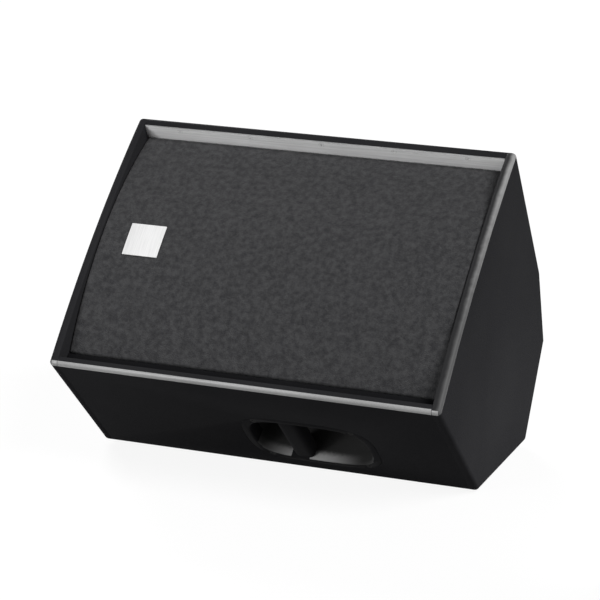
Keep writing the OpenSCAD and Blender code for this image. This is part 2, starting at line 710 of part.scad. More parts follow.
module woofer_back_plate() color("silver") at_woofer() rotate_extrude() polygon([
    [vent_r, magnet_low - back_plate_t], [magnet_r - plate_step, magnet_low - back_plate_t],
    [magnet_r - plate_step, magnet_low], [pole_r, magnet_low], [pole_r, -basket_depth],
    [vent_r, -basket_depth],
]);
function cone_z(r) = let (t = (r - cone_neck_r) / (cone_r - cone_rim_w - cone_neck_r))
    cone_low + (cone_high - cone_low) * pow(max(t, 0), cone_curve);
module woofer_cone() color("black") at_woofer() rotate_extrude() let (
        steps = 14,
        rs = [for (k = [0:steps]) cone_neck_r + (cone_r - cone_rim_w - cone_neck_r) * k / steps]
    )
    polygon(concat(
        [for (r = rs) [r, cone_z(r)]],
        [[cone_r, cone_high], [cone_r, cone_high + cone_t]],
        [for (r = reverse(rs)) [r, cone_z(r) + cone_t]]
    ));
cap_base = cone_z(cap_r) + cone_t + seat_gap;
cap_rise = 12;
cap_ball_r = (cap_r * cap_r + cap_rise * cap_rise) / (2 * cap_rise);
module woofer_dust_cap() color("black") at_woofer() rotate_extrude() intersection() {
    translate([0, cap_base + cap_rise - cap_ball_r]) difference() {
        circle(r = cap_ball_r, $fn = 240);
        circle(r = cap_ball_r - cone_t, $fn = 240);
    }
    translate([0, cap_base]) square([cap_r, cap_rise + past]);
}
module woofer_coil() color("orange") at_woofer() ring(coil_r + coil_t, coil_r, coil_low, coil_top);
// A corrugated ring: flat inner and outer lands with half waves between
module corrugated(inner, wave_in, wave_out, outer, z, rise, waves, t) {
    steps = 8 * waves;
    rs = [for (k = [0:steps]) wave_in + (wave_out - wave_in) * k / steps];
    function wave_z(r) = z + rise * sin(180 * waves * (r - wave_in) / (wave_out - wave_in));
    rotate_extrude() polygon(concat(
        [[inner, z]], [for (r = rs) [r, wave_z(r)]], [[outer, z], [outer, z + t]],
        [for (r = reverse(rs)) [r, wave_z(r) + t]], [[inner, z + t]]
    ));
}
module woofer_surround() color("black") at_woofer() corrugated(
    cone_r - cone_rim_w + past, cone_r + past, woofer_inner_r, basket_top_r - drop_gap,
    woofer_flange_t + seat_gap, surround_rise, surround_waves, surround_t);
module woofer_spider() color("goldenrod") at_woofer() corrugated(
    coil_r + coil_t + seat_gap, coil_r + coil_t + spider_collar, spider_r - landing_w, spider_r,
    spider_z + seat_gap, spider_rise, spider_waves, spider_t);
tag_size = [8, 12, plate_t + basket_gap + top_plate_t / 2];
tag_turn = 14;
module woofer_terminals() color("saddlebrown") at_woofer() for (s = [-1, 1]) rotate(90 + tag_turn * s)
    translate([basket_low_r + seat_gap, -tag_size[1] / 2, basket_bend - tag_size[2]]) cube(tag_size);

// Horn and its driver
horn_flange_t = 5;
horn_screw_hold = 12;
horn_screw_down = 24;
horn_ring_steps = 40;
horn_levels = 7;
horn_square = 9;
flare_curve = 2.2;
throat_flange_t = 6;
throat_step = 5;
throat_flange_r = driver_r - throat_step;
bolt_head_r = 5;
bolt_head_h = 4;
bolt_r = throat_flange_r - bolt_head_r - bolt_head_h;
horn_screw_spots = concat(
    four(horn_w / 2 - horn_rim / 2, horn_h / 2 - horn_screw_down),
    [[-horn_w / 2 + horn_rim / 2, 0], [horn_w / 2 - horn_rim / 2, 0]]);
function horn_oval(a, b) = oval(a, b, horn_square, horn_ring_steps);
function flare(t, grow) = let (
        s = pow(t, flare_curve),
        a = throat_r + (horn_w / 2 - horn_rim - throat_r) * s,
        b = throat_r + (horn_h / 2 - horn_rim - throat_r) * s
    )
    lift(oval(a + grow, b + grow, 2 + (horn_square - 2) * t, horn_ring_steps), flare_z(t, grow));
function flare_z(t, grow) = -horn_depth + t * (horn_depth + (grow > 0 ? 0 : horn_flange_t));
module at_horn() on_baffle(horn_x, driver_u) children();
module horn() color("black") at_horn() difference() {
    skin(concat(
        [for (z = [0, horn_flange_t]) lift(horn_oval(horn_w / 2, horn_h / 2), z)],
        [for (k = [horn_levels:-1:0]) flare(k / horn_levels, 0)],
        [for (r = [throat_r, throat_flange_r])
            lift(oval(r, r, 2, horn_ring_steps), -horn_depth - throat_flange_t)],
        [lift(oval(throat_flange_r, throat_flange_r, 2, horn_ring_steps), -horn_depth)],
        [for (k = [0:horn_levels]) flare(k / horn_levels, horn_wall)]
    ), looped = true);
    at_each(horn_screw_spots) pan_hole_through(small_screw_d, horn_flange_t);
    translate([0, 0, -horn_depth - throat_flange_t]) at_each(circle_of(4, bolt_r, 45))
        pan_hole_through(driver_bolt_d, throat_flange_t);
}
module horn_screws() color("dimgray") at_horn() at_each(horn_screw_spots) translate([0, 0, horn_flange_t])
    pan_screw(small_screw_d, horn_flange_t + horn_screw_hold - past);
// The driver stands behind the throat flange, along its own +z
driver_bolt_d = 6;
driver_back_t = 9;
driver_magnet_t = 18;
driver_plate_t = 8;
driver_rim_t = 2.3;
driver_coil_r = 31;
driver_coil_t = 1;
driver_gap = 0.8;
driver_pole_wall = 5;
driver_seat_w = 10;
suspension_w = 14;
suspension_t = 0.6;
driver_magnet_room = 6;
driver_magnet_step = 2;
driver_magnet_top = driver_back_t + driver_magnet_t;
driver_plate_top = driver_magnet_top + driver_plate_t;
driver_rim_top = driver_plate_top + driver_rim_t;
dome_rise = 11;
dome_lift = 2;
driver_bolt_hold = 8;
dome_r = driver_coil_r + driver_coil_t;
dome_ball_r = (dome_r * dome_r + dome_rise * dome_rise) / (2 * dome_rise);
dome_base = driver_rim_top + dome_lift;
dome_t = 0.8;
cover_depth = 24;
cover_wall = 4;
module at_driver() at_horn() translate([0, 0, -horn_depth - throat_flange_t]) rotate([180, 0, 0]) children();
module driver_pole_plate() color("silver") at_driver() difference() {
    rotate_extrude() polygon([
        [throat_r, 0], [driver_r, 0], [driver_r, driver_back_t], [driver_coil_r - driver_gap, driver_back_t],
        [driver_coil_r - driver_gap, driver_plate_top],
        [driver_coil_r - driver_gap - driver_pole_wall, driver_plate_top],
        [throat_r, driver_back_t],
    ]);
    at_each(circle_of(4, bolt_r, 45)) translate([0, 0, -past])
        cylinder(d = driver_bolt_d + 2 * screw_gap, h = driver_bolt_hold + past);
}
module driver_magnet() color("dimgray") at_driver()
    ring(driver_r + driver_magnet_step, dome_r + driver_magnet_room, driver_back_t, driver_magnet_top);
module driver_top_plate() color("silver") at_driver() rotate_extrude() polygon([
    [dome_r + driver_gap, driver_magnet_top], [driver_r, driver_magnet_top], [driver_r, driver_rim_top],
    [dome_r + driver_seat_w, driver_rim_top], [dome_r + driver_seat_w, driver_plate_top],
    [dome_r + driver_gap, driver_plate_top],
]);
module driver_diaphragm() color("silver") at_driver() rotate_extrude() {
    translate([driver_coil_r, driver_magnet_top + past])
        square([driver_coil_t, dome_base - driver_magnet_top]);
    intersection() {
        translate([0, dome_base + dome_rise - dome_ball_r]) difference() {
            circle(r = dome_ball_r, $fn = 240);
            circle(r = dome_ball_r - dome_t, $fn = 240);
        }
        translate([0, dome_base]) square([dome_r, dome_rise + past]);
    }
}
module driver_suspension() color("goldenrod") at_driver() translate([0, 0, driver_rim_top + seat_gap])
    ring(dome_r + suspension_w, dome_r + seat_gap, 0, suspension_t);
module driver_cover() color("black") at_driver() difference() {
    translate([0, 0, driver_rim_top]) cylinder(r = driver_r, h = cover_depth);
    translate([0, 0, driver_rim_top - past])
        cylinder(r = driver_r - cover_wall, h = cover_depth - cover_wall + past);
}
module driver_bolts() color("dimgray") at_driver() at_each(circle_of(4, bolt_r, 45)) {
    translate([0, 0, -throat_flange_t - bolt_head_h]) cylinder(r = bolt_head_r, h = bolt_head_h, $fn = 6);
    translate([0, 0, -throat_flange_t])
        cylinder(d = driver_bolt_d, h = throat_flange_t + driver_bolt_hold - past);
}

// Ports
port_wall = 2.5;
module port_tubes() color("black") for (u = port_us) on_baffle(port_x, u)
    ring(port_r - screw_gap, port_r - port_wall, -port_len, 0);

// Crossover, on the floor panel
board_t = 1.6;
board_x = -in_x / 2;
board_screw_hold = 9;
board_margin = 6;
spacer_r = 5;
inductor_r = 22;
inductor_hole_r = 9;
inductor_h = 20;
inductor_rim = 2;
capacitor_r = 9;
capacitor_len = 32;
resistor_size = [10, 20, 10];
part_gap = 8;
board_spots = four(board_w / 2 - board_margin, board_d / 2 - board_margin);
inductor_y = -board_d / 2 + board_margin + inductor_r + part_gap;
inductor_pitch = 2 * (inductor_r + inductor_rim) + part_gap;
inductor_spots = [for (k = [-1, 0]) [(k + 0.2) * inductor_pitch, inductor_y]];
capacitor_y = board_d / 2 - board_margin - capacitor_len / 2 - part_gap / 2;
capacitor_spots = [for (k = [-1:1]) [k * (2 * capacitor_r + part_gap), capacitor_y]];
resistor_spots = [for (k = [0, 1]) [board_w / 2 - 3 * part_gap, (k - 1) * (resistor_size[1] + part_gap / 2)]];
module on_floor() in_row() translate([board_x, floor_depth / 2, panel_t]) children();
module on_board() on_floor() translate([0, 0, spacer_h + board_t]) children();
module crossover_board() color("darkgreen") on_floor() difference() {
    translate([-board_w / 2, -board_d / 2, spacer_h]) cube([board_w, board_d, board_t]);
    at_each(board_spots) translate([0, 0, spacer_h]) pan_hole_through(small_screw_d, board_t);
}
module crossover_spacers() color("white") on_floor() at_each(board_spots)
    ring(spacer_r, small_screw_d / 2 + screw_gap, 0, spacer_h);
module crossover_screws() color("silver") on_board() at_each(board_spots)
    pan_screw(small_screw_d, board_t + spacer_h + board_screw_hold - past);
module crossover_coils() color("chocolate") on_board() at_each(inductor_spots) {
    ring(inductor_r, inductor_hole_r, 0, inductor_h);
    ring(inductor_r + inductor_rim, inductor_hole_r, inductor_h, inductor_h + inductor_rim);
}
module crossover_capacitors() color("gold") on_board() at_each(capacitor_spots)
    translate([0, 0, capacitor_r]) rotate([90, 0, 0])
        cylinder(r = capacitor_r, h = capacitor_len, center = true);
module crossover_resistors() color("white") on_board() at_each(resistor_spots)
    translate([-resistor_size[0] / 2, 0, 0]) cube(resistor_size);

// Leads: tubes along smooth curves, between points in X and the section's Y and Z
lead_sides = 8;
lead_step = 12;
lead_in = 18;
lead_x = board_x + board_w / 2 - part_gap - lead_r;
board_top = panel_t + spacer_h + board_t + seat_gap;
rear_in = left_of(unit(corners[4] - corners[3]));
rear_down = unit(corners[3] - corners[4]);
socket_tag_r = (socket_r + socket_tag_t) / 2 * sin(45);
socket_tag_z = dish_depth + socket_bore_depth + dish_t + socket_tail + seat_gap;
tag_end_r = basket_low_r + tag_size[0] + 2 * seat_gap;
tag_way = [sin(tag_turn), cos(tag_turn) * front_dir[0], cos(tag_turn) * front_dir[1]];
driver_end = baffle_set + horn_depth + throat_flange_t + driver_rim_top + cover_depth + seat_gap;
function in_section(x, p) = [x, p[0], p[1]];
function on_front(u, depth) = lip_low + front_dir * u - front_out * depth;
function socket_tag(k, side, down) = in_section(socket_spots[k][0] + side * socket_tag_r,
    (corners[3] + corners[4]) / 2 + rear_in * socket_tag_z + rear_down * down * socket_tag_r);
function inward(p, d) = p + in_section(0, rear_in * d);
function off_board(y) = [[lead_x, y, board_top], [lead_x, y, board_top + lead_in / 2]];
function bend_at(p, i, t) = let (
        b = p[i],
        c = p[i + 1],
        a = i > 0 ? p[i - 1] : 2 * b - c,
        d = i + 2 < len(p) ? p[i + 2] : 2 * c - b
    )
    b + t * ((c - a) + t * ((2 * a - 5 * b + 4 * c - d) + t * (3 * (b - c) + d - a))) / 2;
function curve(p) = concat(
    [for (i = [0:len(p) - 2]) let (n = ceil(norm(p[i + 1] - p[i]) / lead_step))
        for (k = [0:n - 1]) bend_at(p, i, k / n)],
    [p[len(p) - 1]]
);
module lead(points, side) let (path = curve(points), last = len(path) - 1, end = len(points) - 1)
    in_row() skin([
        for (i = [0:last]) let (
            way = i == 0 ? unit(points[1] - points[0])
                : i == last ? unit(points[end] - points[end - 1])
                : unit(path[i + 1] - path[i - 1]),
            u = unit(cross(way, side)),
            v = cross(way, u)
        )
        [for (p = circle_of(lead_sides, lead_r)) path[i] + u * p[0] + v * p[1]]
    ]);
module input_lead() color("dimgray") let (tag = socket_tag(0, 1, 1)) lead(concat(
    [tag, inward(tag, lead_in), [-40, 195, 125], [-60, 160, 80]], reverse(off_board(130))
), [1, 0, 0]);
module link_lead() color("dimgray") let (from = socket_tag(0, 1, -1), to = socket_tag(1, -1, -1)) lead([
    from, inward(from, lead_in / 2), inward((from + to) / 2, lead_in), inward(to, lead_in / 2), to
], in_section(0, rear_down));
module woofer_lead() color("dimgray") let (
        depth = baffle_set - basket_bend + tag_size[2] / 2,
        tag = in_section(woofer_x, on_front(driver_u, depth)) + tag_way * tag_end_r
    )
    lead(concat(off_board(110), [
        [-60, 128, 70], [-52, 160, 130], [-52, 172, 200], [-58, 166, 260], tag + tag_way * lead_in, tag
    ]), [1, 0, 0]);
module driver_lead() color("dimgray") let (cover = in_section(horn_x, on_front(driver_u, driver_end)))
    lead(concat(off_board(90), [
        [-40, 96, 50], [30, 110, 55], [100, 125, 75], [155, 138, 115],
        cover - in_section(0, front_out * lead_in), cover
    ]), [0, 1, 0]);

left_end_panel();
right_end_panel();
kick_panel();
floor_panel();
lower_rear_panel();
upper_rear_panel();
top_panel();
baffle();
baffle_cleats();
grille_ribs();
grille_ledge();
grille_retainer();
retainer_screws();
grille_sheet();
grille_foam();
badge_plate();
handle_cup();
handle_grip();
handle_screws();
connector_dish();
dish_screws();
input_socket();
link_socket();
socket_screws();
pole_socket();
pole_socket_screws();
feet();
foot_screws();
woofer_basket();
woofer_gasket();
woofer_top_plate();
woofer_magnet();
woofer_back_plate();
woofer_cone();
woofer_dust_cap();
woofer_coil();
woofer_surround();
woofer_spider();
woofer_terminals();
woofer_screws();
horn();
horn_screws();
driver_pole_plate();
driver_magnet();
driver_top_plate();
driver_diaphragm();
driver_suspension();
driver_cover();
driver_bolts();
port_tubes();
crossover_board();
crossover_spacers();
crossover_screws();
crossover_coils();
crossover_capacitors();
crossover_resistors();
input_lead();
link_lead();
woofer_lead();
driver_lead();
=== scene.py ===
import json
import math

import bmesh
import bpy
from mathutils import Matrix, Vector
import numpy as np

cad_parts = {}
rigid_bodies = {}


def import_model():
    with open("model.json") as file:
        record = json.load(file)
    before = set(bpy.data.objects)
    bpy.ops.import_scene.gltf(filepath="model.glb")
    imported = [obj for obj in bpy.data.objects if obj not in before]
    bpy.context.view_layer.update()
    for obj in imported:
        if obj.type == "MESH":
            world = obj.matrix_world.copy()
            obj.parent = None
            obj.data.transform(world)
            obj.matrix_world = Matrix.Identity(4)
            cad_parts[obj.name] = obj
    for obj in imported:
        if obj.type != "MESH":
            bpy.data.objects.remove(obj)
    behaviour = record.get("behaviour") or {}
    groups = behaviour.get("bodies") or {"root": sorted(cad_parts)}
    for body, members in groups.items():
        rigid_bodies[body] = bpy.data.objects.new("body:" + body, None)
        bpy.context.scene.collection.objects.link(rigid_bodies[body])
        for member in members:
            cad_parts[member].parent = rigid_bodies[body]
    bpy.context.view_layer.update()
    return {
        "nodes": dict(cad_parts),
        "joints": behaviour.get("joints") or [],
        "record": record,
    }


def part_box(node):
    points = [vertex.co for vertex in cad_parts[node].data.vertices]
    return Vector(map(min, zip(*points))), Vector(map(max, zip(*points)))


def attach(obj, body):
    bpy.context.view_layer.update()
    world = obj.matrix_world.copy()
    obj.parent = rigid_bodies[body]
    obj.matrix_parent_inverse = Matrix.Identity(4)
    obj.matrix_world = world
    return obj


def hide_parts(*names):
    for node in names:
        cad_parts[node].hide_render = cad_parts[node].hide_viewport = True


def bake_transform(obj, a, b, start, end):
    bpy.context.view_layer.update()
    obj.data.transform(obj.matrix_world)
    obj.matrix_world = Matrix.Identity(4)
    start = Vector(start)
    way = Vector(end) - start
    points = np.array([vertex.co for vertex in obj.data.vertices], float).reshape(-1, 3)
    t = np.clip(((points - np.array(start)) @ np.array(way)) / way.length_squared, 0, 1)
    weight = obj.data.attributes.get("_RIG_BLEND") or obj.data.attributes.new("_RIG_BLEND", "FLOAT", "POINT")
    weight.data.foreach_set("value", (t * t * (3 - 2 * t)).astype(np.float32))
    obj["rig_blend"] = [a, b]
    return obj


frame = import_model()
cadNodes = frame["nodes"]
slotOf = {part["node"]: part["material_slot"] for part in frame["record"]["subparts"]}
scene = bpy.context.scene

# The camera stands where the photograph's corners put it
camera = {
    "place": (1.3827, -3.4631, 1.3700),
    "azimuth": 21.848,
    "elevation": 16.962,
    "lens": 163.0,  # mm, on a sensor as wide as the picture
    "sensor": 36.0,
    "farthest": 50,  # m, past the floor's far edge
}


def makeCamera():
    data = bpy.data.cameras.new("viewer")
    data.sensor_width = camera["sensor"]
    data.lens = camera["lens"]
    data.clip_end = camera["farthest"]
    viewer = bpy.data.objects.new("viewer", data)
    viewer.location = camera["place"]
    viewer.rotation_euler = (math.radians(90 - camera["elevation"]), 0, math.radians(camera["azimuth"]))
    scene.collection.objects.link(viewer)
    scene.camera = viewer


class Wire:  # an output socket that takes part in arithmetic
    def __init__(self, sheet, socket):
        self.sheet = sheet
        self.socket = socket

    def __add__(self, other):
        return self.sheet.maths("ADD", self, other)

    def __radd__(self, other):
        return self.sheet.maths("ADD", other, self)

    def __sub__(self, other):
        return self.sheet.maths("SUBTRACT", self, other)

    def __rsub__(self, other):
        return self.sheet.maths("SUBTRACT", other, self)

    def __mul__(self, other):
        return self.sheet.maths("MULTIPLY", self, other)

    def __rmul__(self, other):
        return self.sheet.maths("MULTIPLY", other, self)

    def __truediv__(self, other):
        return self.sheet.maths("DIVIDE", self, other)

    def __rtruediv__(self, other):
        return self.sheet.maths("DIVIDE", other, self)


class NodeSheet:  # one node tree, of a material or of geometry
    def __init__(self, tree):
        self.tree = tree

    def add(self, kind, settings=None, inputs=None, output=0):
        node = self.tree.nodes.new(kind)
        for key, value in (settings or {}).items():
            setattr(node, key, value)
        for key, value in (inputs or {}).items():
            self.plug(node.inputs[key], value)
        return Wire(self, node.outputs[output])

    def plug(self, socket, value):
        if isinstance(value, Wire):
            self.tree.links.new(value.socket, socket)
        else:
            socket.default_value = value

    def maths(self, operation, *values):
        return self.add("ShaderNodeMath", {"operation": operation}, dict(enumerate(values)))

    def vectors(self, operation, *values):
        return self.add("ShaderNodeVectorMath", {"operation": operation}, dict(enumerate(values)))


class Finish(NodeSheet):  # a material on Object coordinates, in metres
    def __init__(self, name, constants=None):
        self.material = bpy.data.materials.new(name)
        self.material.use_nodes = True
        super().__init__(self.material.node_tree)
        self.shader = self.tree.nodes["Principled BSDF"]
        for key, value in (constants or {}).items():
            self.shader.inputs[key].default_value = value
        self.place = self.add("ShaderNodeTexCoord", output="Object")

    def stretched(self, scale):
        return self.add("ShaderNodeMapping", None, {"Vector": self.place, "Scale": scale})

    def noise(self, scale, detail=2.0, place=None):
        inputs = {"Vector": place or self.place, "Scale": scale, "Detail": detail}
        return self.add("ShaderNodeTexNoise", None, inputs)

    def cells(self, scale, feature="F1"):
        inputs = {"Vector": self.place, "Scale": scale}
        return self.add("ShaderNodeTexVoronoi", {"feature": feature}, inputs)

    def between(self, value, low, high, first=0.0, last=1.0):
        inputs = {"Value": value, "From Min": low, "From Max": high, "To Min": first, "To Max": last}
        return self.add("ShaderNodeMapRange", {"interpolation_type": "SMOOTHSTEP"}, inputs)

    def tint(self, factor, first, last):
        inputs = {0: factor, 6: (*first, 1), 7: (*last, 1)}
        return self.add("ShaderNodeMix", {"data_type": "RGBA"}, inputs, 2)

    def wear(self, **sockets):
        for key, value in sockets.items():
            self.plug(self.shader.inputs[key.replace("_", " ")], value)

    def bump(self, height, distance, strength=1.0):
        inputs = {"Height": height, "Distance": distance, "Strength": strength}
        self.plug(self.shader.inputs["Normal"], self.add("ShaderNodeBump", None, inputs))


# Finishes: base tones are linear, scales are per metre, depths are in metres
mostNoise = (0.3, 0.7)  # nearly all of a noise lies between these


def spatterPaint(name, dark, light, roughness, depth, constants):
    finish = Finish(name, constants)
    broad = finish.noise(7, 4)
    spatter = finish.noise(620, 3)
    beads = 1 - finish.cells(380)
    height = spatter * 0.7 + beads * 0.5
    blotch = finish.between(broad * 0.6 + spatter * 0.4, *mostNoise)
    finish.wear(Base_Color=finish.tint(blotch, dark, light))
    finish.wear(Roughness=roughness + broad * 0.12 + spatter * 0.1)
    finish.bump(height, depth)
    return finish.material


def wornEdge(name, paint, bare, least, sides, heights, roughness):  # painted highlight, brighter to the right and upwards
    finish = Finish(name, {"Specular IOR Level": 0.1})
    scuff = finish.noise(90, 4) - 0.5
    across, height = (finish.add("ShaderNodeSeparateXYZ", None, {0: finish.place}, axis) for axis in "XZ")
    # a lighter tone across the rounding and up the edge is a painted highlight
    through = finish.between(across + scuff * 0.004, *sides)
    upwardHighlight = finish.between(height + scuff * 0.1, *heights, least)
    finish.wear(Base_Color=finish.tint(through * upwardHighlight, paint, bare))
    finish.wear(Roughness=roughness + scuff * 0.15)
    finish.bump(scuff, 0.00003)
    return finish.material


def paintedLipHighlight(name, plain, bare, middle, inwards, sides, depths):  # painted highlight, fainter to the sides and inwards
    finish = Finish(name, {"Specular IOR Level": 0.05})
    scuff = finish.noise(260, 3) - 0.5
    offset = finish.vectors("SUBTRACT", finish.place, middle)
    across = finish.maths("ABSOLUTE", finish.add("ShaderNodeSeparateXYZ", None, {0: offset}, "X"))
    ways = {0: offset, 1: inwards}
    depth = finish.add("ShaderNodeVectorMath", {"operation": "DOT_PRODUCT"}, ways, "Value")
    # the lighter tone near the grip and at the mouth is a painted highlight
    highlight = finish.between(across, *sides, 1, 0) * finish.between(depth + scuff * 0.004, *depths, 1, 0)
    finish.wear(Base_Color=finish.tint(highlight, plain, bare))
    finish.wear(Roughness=0.45 + scuff * 0.2)
    finish.bump(scuff, 0.00005)
    return finish.material


def openFoam(name, dark, light):
    finish = Finish(name, {"Specular IOR Level": 0.05, "Sheen Weight": 0.05, "Sheen Roughness": 0.6})
    blotch = finish.noise(125, 2)
    fine = finish.noise(420, 3)
    pores = finish.cells(780)
    tone = finish.between(blotch * 0.66 + fine * 0.34, 0.28, 0.72)
    finish.wear(Base_Color=finish.tint(tone * 0.9 + pores * 0.15, dark, light))
    finish.wear(Roughness=0.9 + fine * 0.1)
    finish.bump(pores * 0.6 + fine * 0.6, 0.0012)
    return finish.material


def brushedMetal(name, dark, light, roughness, metallic, along):
    finish = Finish(name, {"Metallic": metallic})
    streak = finish.noise(1, 5, finish.stretched(along))
    broad = finish.noise(14, 3)
    finish.wear(Base_Color=finish.tint(finish.between(streak * 0.7 + broad * 0.3, *mostNoise), dark, light))
    finish.wear(Roughness=roughness + streak * 0.14)
    finish.bump(streak, 0.00006)
    return finish.material


def mouldedPlastic(name, dark, light, roughness, grain=900, gloss=0.35):
    finish = Finish(name, {"Specular IOR Level": gloss})
    broad = finish.noise(11, 3)
    leather = finish.cells(grain, "SMOOTH_F1")
    finish.wear(Base_Color=finish.tint(finish.between(broad, *mostNoise), dark, light))
    finish.wear(Roughness=roughness + broad * 0.1 + leather * 0.12)
    finish.bump(leather, 0.0002)
    return finish.material


def powderCoat(name, dark, light, roughness):
    finish = Finish(name, {"Specular IOR Level": 0.4})
    peel = finish.noise(900, 2)
    broad = finish.noise(18, 3)
    finish.wear(Base_Color=finish.tint(finish.between(broad * 0.7 + peel * 0.3, *mostNoise), dark, light))
    finish.wear(Roughness=roughness + peel * 0.15)
    finish.bump(peel, 0.00015)
    return finish.material


def platedSteel(name, dark, light, roughness, metallic=1.0, gloss=0.5):
    finish = Finish(name, {"Metallic": metallic, "Specular IOR Level": gloss})
    cloud = finish.noise(160, 4)
    scratch = finish.noise(1, 3, finish.stretched((2400, 300, 300)))
    finish.wear(Base_Color=finish.tint(finish.between(cloud, *mostNoise), dark, light))
    finish.wear(Roughness=roughness + cloud * 0.12 + scratch * 0.1)
    finish.bump(scratch, 0.00003)
    return finish.material


def fibrous(name, dark, light, scale, roughness=0.85):  # paper, felted board, dipped cloth
    finish = Finish(name, {"Specular IOR Level": 0.15})
    fibre = finish.noise(scale, 4, finish.stretched((1, 3, 1)))
    broad = finish.noise(30, 2)
    finish.wear(Base_Color=finish.tint(finish.between(fibre * 0.6 + broad * 0.4, *mostNoise), dark, light))
    finish.wear(Roughness=roughness + fibre * 0.12)
    finish.bump(fibre, 0.0003)
    return finish.material


def woundWire(name, dark, light):
    finish = Finish(name, {"Metallic": 0.8})
    inputs = {"Vector": finish.place, "Scale": 320.0}
    turns = finish.add("ShaderNodeTexWave", {"bands_direction": "Z"}, inputs)
    cloud = finish.noise(90, 3)
    finish.wear(Base_Color=finish.tint(turns * 0.7 + cloud * 0.3, dark, light))
    finish.wear(Roughness=0.3 + cloud * 0.2)
    finish.bump(turns, 0.0002)
    return finish.material


def groundStone(name, dark, light):  # ferrite and fired ceramic
    finish = Finish(name, {"Specular IOR Level": 0.3})
    speck = finish.noise(700, 4)
    broad = finish.noise(40, 3)
    finish.wear(Base_Color=finish.tint(finish.between(speck * 0.5 + broad * 0.5, 0.35, 0.65), dark, light))
    finish.wear(Roughness=0.55 + speck * 0.25)
    finish.bump(speck, 0.0001)
    return finish.material


